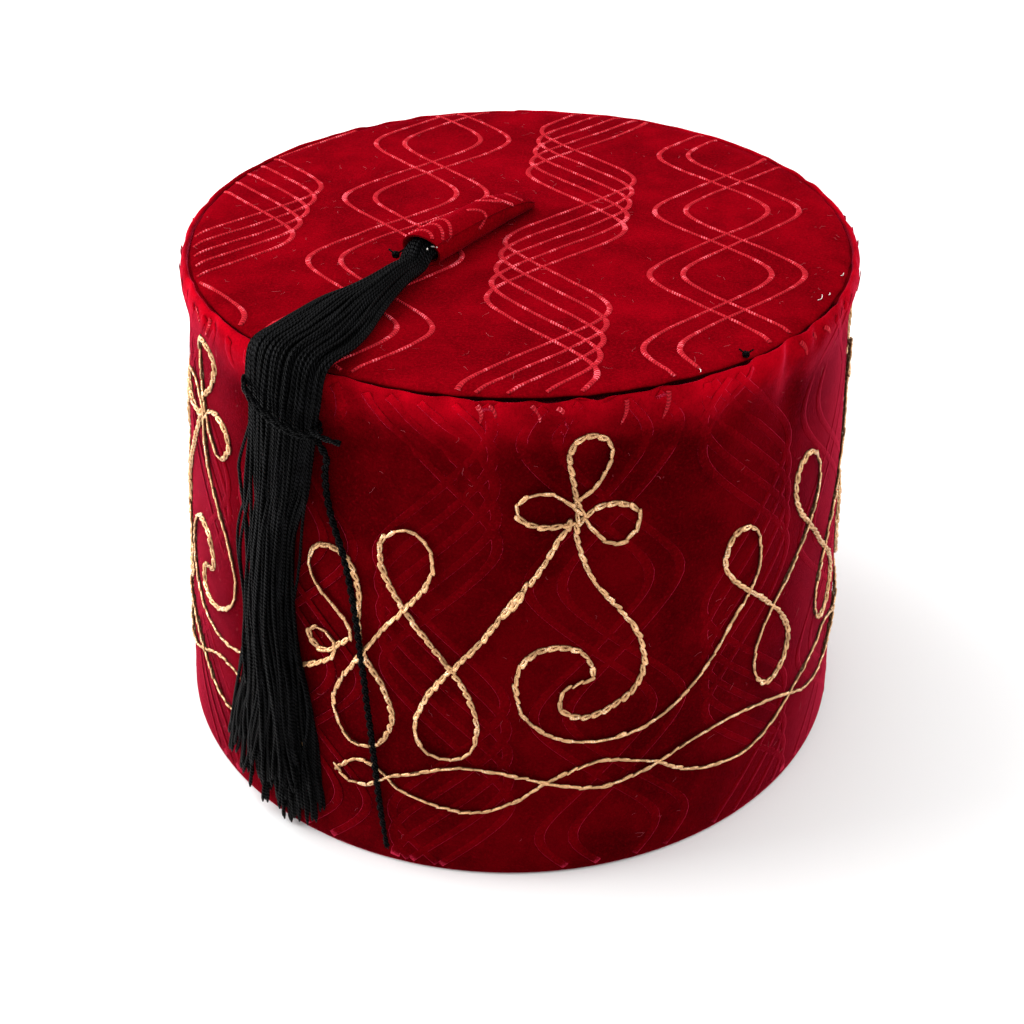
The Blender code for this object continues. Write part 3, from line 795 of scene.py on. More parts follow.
def rayon(name, colour, turn):
    """Shiny black thread of two plies."""
    f = Finish(name)
    x, y, along = f.parts(f.mark("strand", "Vector"))
    around = y.maths("ARCTAN2", x)
    tone = f.mark("tone")
    grain = f.noise(2400, 2, 0.5)
    ply = abs((around + along * (2 * math.pi / turn) + tone * 6.0).sine())
    highlight_patches = f.noise(300, 3, 0.6).over(0.38, 0.70)
    # Painted highlights: the crests of the plies are painted up to 4.6 times as light as the black, more in the
    # patches of noise, for the thread's shine.
    lit = ply.over(0.72, 1.0) * (0.08 + highlight_patches * 0.55 + tone * 0.37)
    base = f.mix(lit, shade(colour, 0.15), shade(colour, 4.6))
    rough = 0.30 + grain * 0.16
    return f.done(Base_Color=base, Roughness=rough, Normal=f.bump(ply * 0.85 + grain * 0.15, 0.00040, 1.0),
                  Specular_IOR_Level=0.03)


def plain_fibre(name, colour):
    """Thin loose fibre, a little uneven in colour."""
    f = Finish(name)
    uneven = f.noise(700, 2, 0.5).over(0.35, 0.65)
    return f.done(Base_Color=f.mix(uneven, shade(colour, 0.7), colour), Roughness=0.7)


# The wall's velvet takes the crown's colour near the rim as painted light, for the light that falls on the rim from
# above.
def wall_velvet():
    return known("velvet_wall", velvet, tint("wall"), (0.14, 0.0004, 0.004), 1.35, 0.90, tint("crown"))


# A lighter copy of the wall's velvet, which paints the stronger light that falls on the top.
def crown_velvet():
    return known("velvet_crown", velvet, tint("crown"), (0.28, 0.0006, 0.005), 0.9, 0.11)


def line_satin():
    return known("satin_lines", satin_lines, tint("line"), 0.75)


def thread_rayon():
    return known("thread_rayon", rayon, tint("rayon"), settings().thread_twist)


def cord_rayon():
    return known("cord_rayon", rayon, tint("rayon"), 0.0014)


# Operators, one for each piece or group of pieces


class FEZ_OT_stage(bpy.types.Operator):
    """Set the camera, the floor, the lights and the surrounding light"""

    bl_idname = "fez.stage"
    bl_label = "Stage"

    CAMERA_PLACE = (0.0, -0.3725, 0.3042)
    CAMERA_DOWN = 34.643
    CAMERA_ASIDE = 0.063
    CAMERA_TILT = -0.072
    LENS = 56.25
    FLOOR_RADIUS = 6.0
    LIGHTS = [
        ("key", (-0.65, 0.25, 0.95), 0.80, 8.5),
        ("left_side", (-0.95, 0.00, 0.30), 0.60, 10.0),
        ("right_side", (0.95, 0.15, 0.40), 0.60, 4.6),
        ("front", (0.20, -0.90, 0.80), 0.50, 2.6),
        ("overhead", (0.05, 0.15, 1.20), 1.20, 8.0),
    ]
    AIM = (0.0, 0.0, 0.07)

    def execute(self, context):
        camera = primitive(bpy.ops.object.camera_add)
        camera.name = "camera"
        turn = (Matrix.Rotation(math.radians(-self.CAMERA_ASIDE), 4, "Z")
                @ Matrix.Rotation(math.radians(90 - self.CAMERA_DOWN), 4, "X")
                @ Matrix.Rotation(math.radians(self.CAMERA_TILT), 4, "Z"))
        camera.matrix_world = Matrix.Translation(self.CAMERA_PLACE) @ turn
        camera.data.lens = self.LENS
        camera.data.clip_start = 0.01
        context.scene.camera = camera
        for name, place, size, power in self.LIGHTS:
            light = primitive(bpy.ops.object.light_add, type="AREA", location=place)
            light.name = name
            light.rotation_euler = (Vector(place) - Vector(self.AIM)).to_track_quat("Z", "Y").to_euler()
            light.data.size = size
            light.data.energy = power
        floor = primitive(bpy.ops.mesh.primitive_circle_add, vertices=96, radius=self.FLOOR_RADIUS,
                          fill_type="NGON")
        floor.name = "floor"
        f = Finish("floor")
        colour = tint("floor")
        x, y, _ = f.parts(f.place())
        away = (x * x + y * y).power(0.5)
        floor.data.materials.append(f.done(
            Base_Color=f.mix(f.noise(3, 2).over(0.4, 0.6), shade(colour, 0.99), colour), Roughness=0.9,
            Specular_IOR_Level=0.1, Emission_Strength=0.5,
            Emission_Color=f.mix(away.over(0.5, 2.2), (0, 0, 0), (1, 1, 1))))
        world = bpy.data.worlds.new("surrounding")
        world.use_nodes = True
        world.node_tree.nodes["Background"].inputs["Color"].default_value = (1, 1, 1, 1)
        world.node_tree.nodes["Background"].inputs["Strength"].default_value = 0.48
        context.scene.world = world
        context.scene.view_settings.view_transform = "Standard"
        return {"FINISHED"}


class FEZ_OT_tail_cord(bpy.types.Operator):
    """Make the loose tail of the cord, with its frayed end"""

    bl_idname = "fez.tail_cord"
    bl_label = "Tail cord"

    THICK = 0.0018
    HIDDEN_START = (-31.2, 0.1195, 0.0038)
    TURN = 0.0050
    STEP = 0.00035
    FRAY = 9
    FRAY_FROM = 8  # points before the end
    HAIR_RADIUS = 0.00016

    def execute(self, context):
        fine = smooth_path([self.HIDDEN_START, *CORD_ROUTE], 24)
        radius = wall_radius(fine[:, 1]) + fine[:, 2]
        path = outward(fine[:, 0]) * radius[:, None]
        path[:, 0] += LEAN * fine[:, 1] / HEIGHT
        path[:, 2] = fine[:, 1]
        path = evenly(path, self.STEP)
        azimuth = np.degrees(np.arctan2(path[:, 0], -path[:, 1]))
        normals = outward(azimuth)
        skein = Skein()
        taper = 1 - 0.25 * ease(np.linspace(-8, 1, len(path)))
        twisted(skein, path, normals, self.THICK, self.TURN, 8, 0.3, taper)
        draw = random.Random(31)
        tip, down = path[-self.FRAY_FROM], directions(path)[-self.FRAY_FROM]
        side = np.cross(normals[-1], down)
        for k in range(self.FRAY):
            lean = (k / (self.FRAY - 1) - 0.5) * 1.1
            length = draw.uniform(0.0028, 0.0042)
            share = np.linspace(0, 1, 6)[:, None]
            hair = tip + down * length * share + side * lean * 0.0016 * share**1.5
            hair = hair + normals[-1] * draw.uniform(-0.0002, 0.0005) * share
            skein.add(hair, np.tile(normals[-1], (6, 1)), circle_ring(5, self.HAIR_RADIUS), draw.random())
        cord = skein.piece("twisted_tail_cord", cord_rayon())
        dress(cord, "black_rayon", "tail_cord")
        length = float(np.linalg.norm(np.diff(path, axis=0), axis=1).sum())
        [tuple(p) for p in path[::8]] + [tuple(path[-1])]
        return {"FINISHED"}


class FEZ_OT_wall(bpy.types.Operator):
    """Make the velvet side wall with its rim, gathers and wrinkles"""

    bl_idname = "fez.wall"
    bl_label = "Velvet wall"

    SIDES = 216
    LIP = 0.0055
    LEVELS = 46
    RIM_LEVELS = 9

    def profile(self):
        shelf = HEIGHT - CROWN_THICKNESS - CLEARANCE
        seam = CROWN_RADIUS + 0.0004
        rim_top, rim = HEIGHT - 0.0007, HEIGHT - RIM_DROP
        lip = RIM_RADIUS - WALL - self.LIP
        rows = [(lip, shelf), ((lip + seam) / 2, shelf), (seam - 0.0001, shelf), (seam, shelf + 0.0002)]
        rows += [(seam, rim_top - 0.0010), (seam + 0.0001, rim_top - 0.0004)]
        for step in range(self.RIM_LEVELS):
            angle = math.radians(90) * step / self.RIM_LEVELS
            out = seam + 0.0005 + (RIM_RADIUS - seam - 0.0005) * math.sin(angle)
            rows.append((out, rim + (rim_top - rim) * math.cos(angle)))
        for height in np.linspace(rim, 0.0012, self.LEVELS):
            rows.append((float(wall_radius(height)), float(height)))
        rows += [(BASE_RADIUS - 0.0002, 0.0004), (BASE_RADIUS - 0.0008, 0.00005)]
        rows += [(BASE_RADIUS - WALL + 0.0006, 0.00005), (BASE_RADIUS - WALL, 0.0006)]
        for height in (0.02, 0.05, 0.08, NECK):
            rows.append((float(wall_radius(height)) - WALL, height))
        rows += [(RIM_RADIUS - 1.2 * WALL, shelf - 1.9 * WALL), (RIM_RADIUS - 1.7 * WALL, shelf - WALL)]
        rows += [(lip, shelf - WALL), (lip, shelf - 0.3 * WALL), (lip, shelf)]
        return rows

    def execute(self, context):
        wall = close_ring(ring_tower("velvet_wall", self.SIDES, self.profile()))
        subdivide_piece(wall, 1)
        points = mesh_points(wall)
        azimuth = np.degrees(np.arctan2(points[:, 0], -points[:, 1]))
        radius, height = np.hypot(points[:, 0], points[:, 1]), points[:, 2].copy()
        outside = ease((radius - wall_radius(height) + 0.6 * WALL) / (0.4 * WALL))
        under = (radius < CROWN_RADIUS + 0.0003) | (height < HEIGHT - RIM_DROP) & (outside < 0.01)
        near_seam = np.where(under | (height < HEIGHT - RIM_DROP), 0.0, 1 - ease(
            (radius - CROWN_RADIUS - 0.0006) / 0.0015))
        depth = np.where(under, 0.0, drawn_in(azimuth, height) * (1 - 0.55 * near_seam))
        opened = near_seam * seam_open(azimuth)
        moved = radius - depth + opened * 0.5
        points[:, :2] *= (moved / radius)[:, None]
        high = ease((height - HEIGHT + CROWN_THICKNESS) / 0.0014)
        points[:, 2] -= high * (opened * 0.9 + near_seam * 0.0005 * soft_noise(azimuth / 11, azimuth / 17, 21, 6))
        points[:, 0] += LEAN * height / HEIGHT
        move_points(wall, points)
        # Painted shade: the rebate under the crown is painted near black, and the rim next to the seam darker, most
        # where the seam stands open.
        inner = (height > HEIGHT - RIM_DROP) & (radius < CROWN_RADIUS + 0.0006)
        painted_gap_shade = 0.25 + 0.75 * ease(seam_open(azimuth) / 0.0008)
        mark_points(wall, "fold", np.where(inner, 0.95, 0.45 * near_seam) * painted_gap_shade)
        dress(wall, "velvet", "side_wall", finish=wall_velvet())
        return {"FINISHED"}


class FEZ_OT_crown(bpy.types.Operator):
    """Make the crown's disc of velvet with its raw, slightly lifted edge"""

    bl_idname = "fez.crown"
    bl_label = "Velvet crown"

    SIDES = 150
    RINGS = 26

    def execute(self, context):
        under = HEIGHT - CROWN_THICKNESS
        rows = [(0.004, under), (0.04, under), (CROWN_RADIUS - 0.0008, under)]
        rows += [(CROWN_RADIUS - 0.0002, under + 0.0003), (CROWN_RADIUS, HEIGHT - 0.0012)]
        rows += [(CROWN_RADIUS - 0.0001, HEIGHT - 0.0005), (CROWN_RADIUS - 0.0005, HEIGHT - 0.0001)]
        rows += [(float(r), HEIGHT) for r in np.linspace(CROWN_RADIUS - 0.0014, 0.0015, self.RINGS)]
        crown = ring_tower("velvet_crown", self.SIDES, rows, poles=True)
        subdivide_piece(crown, 1)
        points = mesh_points(crown)
        x, y, z = points.T.copy()
        azimuth = np.degrees(np.arctan2(x, -y))
        edge = ease((np.hypot(x, y) / CROWN_RADIUS - 0.97) / 0.03)
        ragged = 0.00034 * soft_noise(azimuth / 8, azimuth / 13, 14, 7) - 0.00020
        grow = 1 + edge * ragged / CROWN_RADIUS
        top = ease((z - HEIGHT + 0.0016) / 0.0012)
        points[:, 0] = x * grow + LEAN
        points[:, 1] = y * grow
        points[:, 2] = z + top * crown_rise(x, y)
        move_points(crown, points)
        # Painted shade on the side of the crown's edge, below its top, most where the seam stands open.
        painted_gap_shade = 0.15 + 0.75 * ease(seam_open(azimuth) / 0.0008)
        mark_points(crown, "fold", edge * ease((HEIGHT - z - 0.0003) / 0.0006) * painted_gap_shade)
        dress(crown, "velvet", "crown_top", finish=crown_velvet())
        return {"FINISHED"}


def wave(phase):
    """A wave from -1 to 1 whose sides are straighter than a sine's."""
    return np.arcsin(TURN_SHARPNESS * np.cos(phase)) / math.asin(TURN_SHARPNESS)


def line_ring(width, height, soft=0.8):
    """A low round-backed strip, sunk a little into the cloth, with flatter edges the softer it is."""
    angle = np.radians((0, 36, 72, 108, 144, 180))
    width, height = np.broadcast_arrays(np.atleast_1d(width), np.atleast_1d(height))
    side = width[:, None] / 2 * np.cos(angle)
    up = height[:, None] * (np.sin(angle).clip(0) ** soft) - 0.25 * height[:, None]
    return np.stack([side, up], -1)


class FEZ_OT_crown_lines(bpy.types.Operator):
    """Make the raised satin wave lines of the crown"""

    bl_idname = "fez.crown_lines"
    bl_label = "Crown wave lines"

    STEP = 0.0011
    NARROW, WIDE = 0.0009, 0.0015

    def add_line(self, skein, x, y, turn, tone):
        inside = np.hypot(x, y) < CROWN_RADIUS - 0.0009
        edges = np.flatnonzero(np.diff(np.concatenate([[0], inside.astype(int), [0]])))
        for start, end in zip(edges[::2], edges[1::2]):
            if end - start < 5:
                continue
            path = evenly(np.stack([x, y, turn], -1)[start:end], self.STEP, 2)
            points, normals = surface_frames(crown_point, path[:, 0], path[:, 1])
            jitter = 1 + 0.10 * soft_noise(path[:, 0] / 0.004, path[:, 1] / 0.004, 23)
            width = (self.NARROW + (self.WIDE - self.NARROW) * np.abs(path[:, 2]) ** 5) * jitter
            skein.add(points, normals, line_ring(width, settings().line_height * jitter), tone)

    def execute(self, context):
        skein = Skein()
        y = np.arange(-CROWN_RADIUS, CROWN_RADIUS, 0.0005)
        draw = random.Random(7)
        for middle, slant, right_turn, period in CROWN_HELIXES:
            for shift in HELIX_SHIFTS:
                turn = wave(2 * math.pi * (y - right_turn - shift) / period)
                self.add_line(skein, middle + slant * y + SWING * MM * turn, y, turn, draw.random())
        for middle, slant, right_turn, period in CROWN_CHAINS:
            turn = wave(2 * math.pi * (y - right_turn) / period)
            for side in (-1, 1):
                for offset in (-PAIR_OFFSET, PAIR_OFFSET):
                    x = middle + slant * y + side * SWING * MM * turn + offset
                    self.add_line(skein, x, y, turn, draw.random())
        dress(skein.piece("crown_wave_lines", line_satin()), "velvet")
        return {"FINISHED"}


class FEZ_OT_wall_lines(bpy.types.Operator):
    """Make the faint wave lines of the wall's cloth"""

    bl_idname = "fez.wall_lines"
    bl_label = "Wall wave lines"

    STEP = 0.0022
    WIDTH = 0.0019
    HEIGHT_SHARE = 0.30
    PERIOD = 0.0736
    SLANT = -5.0
    DEGREE = 0.00155  # metres round the wall
    # Where wave lines come over the rim and catch the light: azimuth, drop at the top and the bottom, lean.
    RIM_MARKS = [
        (-6.4, 2.2, 6.5, 0.4), (-4.8, 2.6, 5.0, 1.0), (1.4, 2.4, 6.0, 1.2), (5.0, 2.4, 4.0, 0.8),
        (15.2, 2.2, 8.5, -0.5), (21.9, 2.2, 8.5, -0.8), (48.0, 2.2, 6.5, 2.0), (51.5, 2.2, 4.5, 1.4),
        (54.6, 2.3, 5.0, 2.2), (76.0, 2.2, 7.0, -1.0), (93.0, 2.4, 6.0, 1.0), (101.0, 2.2, 8.0, 1.6),
        (124.0, 2.4, 6.0, -1.2), (143.0, 2.2, 7.0, 1.0), (166.0, 2.3, 6.5, -1.0), (-172.0, 2.2, 7.5, 1.4),
        (-151.0, 2.4, 5.5, 1.0), (-128.0, 2.2, 7.5, -1.0), (-109.0, 2.3, 6.0, 1.5), (-86.0, 2.2, 7.0, -1.5),
        (-63.0, 2.3, 5.5, 1.2), (-58.0, 2.2, 7.5, -1.8),
    ]

    def execute(self, context):
        skein = Skein()
        across = 360.0 / WALL_COLUMNS
        per_mm = 360.0 / (2 * math.pi * 88)
        height = np.arange(0.002, HEIGHT - 0.0022, 0.0008)
        draw = random.Random(17)
        for column in range(WALL_COLUMNS):
            middle = -9.0 + column * across
            phase = draw.uniform(0, self.PERIOD)
            lines = [(1, shift, 0.0) for shift in HELIX_SHIFTS]
            if column % 2:
                lines = [(side, 0.0, offset) for side in (-1, 1) for offset in (-4.0, 4.0)]
            for side, shift, offset in lines:
                turn = wave(2 * math.pi * (height - phase - shift) / self.PERIOD)
                azimuth = middle + self.SLANT * height / HEIGHT + (side * SWING * turn + offset) * per_mm
                rows = evenly(np.stack([azimuth * self.DEGREE, height, turn], -1), self.STEP, 2)
                azimuth = rows[:, 0] / self.DEGREE
                points, normals = surface_frames(wall_point, azimuth, rows[:, 1], scale=WALL_SCALE)
                width = self.WIDTH * (1 + 0.4 * np.abs(rows[:, 2]) ** 5)
                low = settings().line_height * self.HEIGHT_SHARE
                skein.add(points, normals, line_ring(width, low, 1.5), draw.random())
        # Near the rim the lines' velvet takes a lighter copy of the crown's colour as painted light, like the wall.
        pressed = known("pressed_lines", velvet, shade(tint("wall"), 1.40), (0.18, 0.001, 0.006), 1.0, 1.0,
                        shade(tint("crown"), 1.15))
        dress(skein.piece("wall_wave_lines", pressed), "velvet")
        marks = Skein()
        for azimuth, top, bottom, lean in self.RIM_MARKS:
            share = np.linspace(0, 1, 9)
            height = HEIGHT - (top + (bottom - top) * share) * MM
            bent = azimuth + lean * share + 0.35 * np.sin(math.pi * share)
            points, normals = surface_frames(wall_point, bent, height, scale=WALL_SCALE)
            width = 0.0011 * np.sqrt(np.clip(1.05 - share**2, 0, 1))
            marks.add(points, normals, line_ring(width, 0.00022), draw.random())
        dress(marks.piece("rim_wave_lines", line_satin()), "velvet")
        return {"FINISHED"}


def chain_link():
    """One link of the chain stitch: a drawn-out loop, its tail low and its head high."""
    s = settings()
    ring = primitive(bpy.ops.mesh.primitive_torus_add, major_segments=12, minor_segments=5,
                     major_radius=(s.stitch_width - s.yarn) / 2, minor_radius=s.yarn / 2)
    bpy.ops.object.mode_set(mode="EDIT")
    bpy.ops.mesh.select_all(action="SELECT")
    bpy.ops.transform.resize(value=(1.0, 1.0, 0.85))
    bpy.ops.object.mode_set(mode="OBJECT")
    points = mesh_points(ring)
    along = points[:, 0] / (s.stitch_width / 2)
    # Drawn out to 1.35 pitches, and pinched where it comes out of the link before.
    stretch = (1.35 * s.stitch_pitch - s.stitch_width) / 2
    points[:, 0] += np.tanh(along * 2.2) * stretch
    points[:, 1] *= 0.72 + 0.28 * np.clip(along + 0.6, 0, 1)
    points[:, 2] += 0.00022 * along + 0.00012 * np.sign(points[:, 1]) * (1 - along**2).clip(0)
    faces = np.array([list(face.vertices) for face in ring.data.polygons])
    bpy.data.objects.remove(ring)
    return points, faces


def stitches(skein, link, route, out, seed):
    """Chain links along a route of (azimuth, millimetres of height) on the wall."""
    draw = np.random.default_rng(seed)
    rows = smooth_path(route, 14)
    rows = np.stack([rows[:, 0], rows[:, 1] * MM], -1)
    points, normals = surface_frames(wall_point, rows[:, 0], rows[:, 1], out, scale=WALL_SCALE)
    even = evenly(np.hstack([points, normals]), settings().stitch_pitch)
    places, normals = even[:, :3], unit(even[:, 3:])
    ahead = directions(places)
    side = unit(np.cross(normals, ahead))
    up = np.cross(ahead, side)
    count = len(places)
    roll, yaw = np.radians(draw.normal(22, 14, count)), np.radians(draw.normal(7, 5, count))
    size = draw.normal(1.0, 0.07, (count, 3)).clip(0.8, 1.2)
    ahead, side = (ahead * np.cos(yaw)[:, None] + side * np.sin(yaw)[:, None],
                   side * np.cos(yaw)[:, None] - ahead * np.sin(yaw)[:, None])
    side, up = (side * np.cos(roll)[:, None] + up * np.sin(roll)[:, None],
                up * np.cos(roll)[:, None] - side * np.sin(roll)[:, None])
    turn = np.zeros((count, 4, 4))
    turn[:, :3, 0], turn[:, :3, 1], turn[:, :3, 2] = (v * size[:, k:k + 1] for k, v in enumerate((ahead, side, up)))
    turn[:, :3, 3] = places + side * draw.normal(0, 0.00007, count)[:, None]
    turn[:, 3, 3] = 1
    skein.copies(*link, turn, draw.random(count))


class FEZ_OT_gold(bpy.types.Operator):
    """Make the gold chain stitches of the wall: five flowers with their tendrils, and the band"""

    bl_idname = "fez.gold"
    bl_label = "Gold stitches"

    OUT = 0.00045
    OVER = 0.00085
    JOIN = 5
    CLOSER = 4.0

    def band_routes(self):
        routes = []
        for rows, way in ((BAND_FIRST, -1), (BAND_SECOND, 1)):
            waves = [(at, BAND_MIDDLE + way * side * BAND_SWING) for at, side in BAND_TURNS]
            routes.append(rows + waves + (BAND_ENDS if way > 0 else BAND_ENDS[::-1][:1]))
        return routes

    def execute(self, context):
        link = chain_link()
        finish = known("gold_yarn", gold_yarn, tint("gold"))
        for number, turn in enumerate(UNIT_TURNS):
            skein = Skein()

            def shifted(rows):
                return [(azimuth + turn, height) for azimuth, height in rows]

            stitches(skein, link, shifted(TOP_LOOP), self.OUT, 10 + number)
            stitches(skein, link, shifted(RIGHT_LOOP), self.OUT, 20 + number)
            stitches(skein, link, shifted(LEFT_LOOP), self.OVER, 30 + number)
            last = number == len(UNIT_TURNS) - 1
            way_on = [] if last else shifted(CROSSING)
            if 0 < number and not last:
                # The flowers behind stand closer together than the first two.
                near = [(azimuth - self.CLOSER, height) for azimuth, height in way_on[-self.JOIN:]]
                way_on = way_on[:-self.JOIN] + near
            stitches(skein, link, shifted(RIGHT_STEM) + way_on, self.OUT, 40 + number)
            if number == 0:
                stitches(skein, link, FRONT_LEFT, self.OVER, 50)
                stitches(skein, link, STEM_KNOT, self.OVER + 0.0005, 51)
            dress(skein.piece(f"gold_flower_{number + 1}", finish), "gold_thread")
        skein = Skein()
        for number, route in enumerate(self.band_routes()):
            stitches(skein, link, route, self.OUT + 0.0003 * number, 60 + number)
        dress(skein.piece("gold_band", finish), "gold_thread")
        return {"FINISHED"}


def sleeve_axes():
    mouth = np.array((LEAN, 0, HEIGHT)) + outward(float(SLEEVE_AZIMUTH)) * SLEEVE_REACH * CROWN_RADIUS
    forward = outward(float(SLEEVE_HEADING))
    up = np.array((0.0, 0.0, 1.0))
    return mouth, forward, np.cross(forward, up), up


def sleeve_point(along, angle, out=0.0):
    """Points of the sleeve's skin, at shares of its length and degrees round it from its lower right edge."""
    along, angle, out = np.broadcast_arrays(np.asarray(along, float), np.asarray(angle, float), out)
    fine = smooth_path(SLEEVE_SECTIONS, 10)
    width = np.interp(along, fine[:, 0], fine[:, 1]) * SLEEVE_DIAMETER
    height = np.interp(along, fine[:, 0], fine[:, 2]) * SLEEVE_DIAMETER
    mouth, forward, across, up = sleeve_axes()
    turn = np.radians(angle)
    wrap = 1 + 0.16 * (((angle - 150) % 360) / 360 - 0.5)
    dented = 1 + 0.03 * soft_noise(along * 2.2, angle / 150, 44, 4)
    side = (width / 2 + out) * np.cos(turn) * wrap * dented
    rise = (height / 2 + out) * np.sin(turn) * wrap * dented
    # The mouth is cut at a slant, its right side further forward.
    reach = SLEEVE_LENGTH * (along - 1) + ease((along - 0.75) / 0.25) * (side * 0.28 + rise * 0.42)
    lift = np.maximum(height / 2 + rise, 0.0001) + CLEARANCE / 2
    return mouth + reach[..., None] * forward + side[..., None] * across + lift[..., None] * up


class FEZ_OT_sleeve(bpy.types.Operator):
    """Make the rolled velvet sleeve with its wrapped edge and its wave lines"""

    bl_idname = "fez.sleeve"
    bl_label = "Sleeve"

    SIDES = 72
    LEVELS = 34
    BORE_DEPTH = 0.009
    RADIUS = 0.0047
    LINE_SCALE = (100.0, 5000.0)
    # Wave lines round the sleeve: how far along at their middle, how far they bow, from and to in degrees.
    LINES = [
        (0.905, -0.10, 22, 158), (0.955, -0.085, 40, 150), (0.985, -0.04, 60, 130), (0.36, 0.10, 30, 120),
        (0.27, 0.09, 45, 150), (0.17, 0.05, 60, 140), (0.62, -0.08, 100, 175),
    ]

    def execute(self, context):
        levels = np.linspace(0, 1, self.LEVELS)
        rows = [(0.0005, -0.0001)] + [(self.RADIUS, float(k) * SLEEVE_LENGTH) for k in levels]
        rows += [(0.0044, SLEEVE_LENGTH + 0.0003), (0.0040, SLEEVE_LENGTH - 0.0002)]
        rows += [(0.0039, SLEEVE_LENGTH - 0.003), (0.0036, SLEEVE_LENGTH - self.BORE_DEPTH)]
        sleeve = ring_tower("velvet_sleeve", self.SIDES, rows, poles=True)
        points = mesh_points(sleeve)
        angle = np.degrees(np.arctan2(points[:, 1], points[:, 0]))
        radius = np.hypot(points[:, 0], points[:, 1])
        along = (points[:, 2] / SLEEVE_LENGTH).clip(0, 1)
        skin = sleeve_point(along, angle)
        middle = (skin + sleeve_point(along, angle + 180)) / 2
        share = (radius / self.RADIUS)[:, None]
        moved = middle + (skin - middle) * share
        move_points(sleeve, moved)
        bpy.ops.object.mode_set(mode="EDIT")
        bpy.ops.mesh.select_all(action="SELECT")
        bpy.ops.mesh.normals_make_consistent(inside=False)
        bpy.ops.object.mode_set(mode="OBJECT")
        dress(sleeve, "velvet", "tassel_sleeve", finish=crown_velvet())
        sleeve.data.set_sharp_from_angle(angle=math.radians(55))
        skein = Skein()
        for along, bow, start, end in self.LINES:
            angle = np.linspace(start, end, 26)
            share = (angle - start) / (end - start)
            at = along + bow * np.sin(math.pi * share) ** 0.8
            points, normals = surface_frames(sleeve_point, at, angle, scale=self.LINE_SCALE)
            skein.add(points, normals, line_ring(0.0010, 0.0003), 0.5)
        dress(skein.piece("sleeve_wave_lines", line_satin()), "velvet")
        return {"FINISHED"}


def head_frames():
    """Rows of the tassel's head: middle, normal, width and thickness, from inside the sleeve to the tie."""
    mouth, forward, across, up = sleeve_axes()
    bore = 0.98 * SLEEVE_DIAMETER - 2 * SLEEVE_WALL - 2 * CLEARANCE
    rise = CLEARANCE + 0.49 * SLEEVE_DIAMETER
    rows = [np.r_[mouth + forward * along + up * rise, up, bore * wide, bore * wide]
            for along, wide in ((-0.0075, 1.0), (-0.003, 1.18), (0.0013, 1.26))]
    for azimuth, run, width, thickness, lift in HEAD_SECTIONS:
        point, normal = hat_surface(azimuth, run)
        thick = thickness * TASSEL_THICKNESS
        middle = point + normal * (CLEARANCE + thick / 2 + lift * TIE_ROOM)
        rows.append(np.r_[middle, normal, width * TASSEL_WIDTH, thick])
    return np.array(rows)


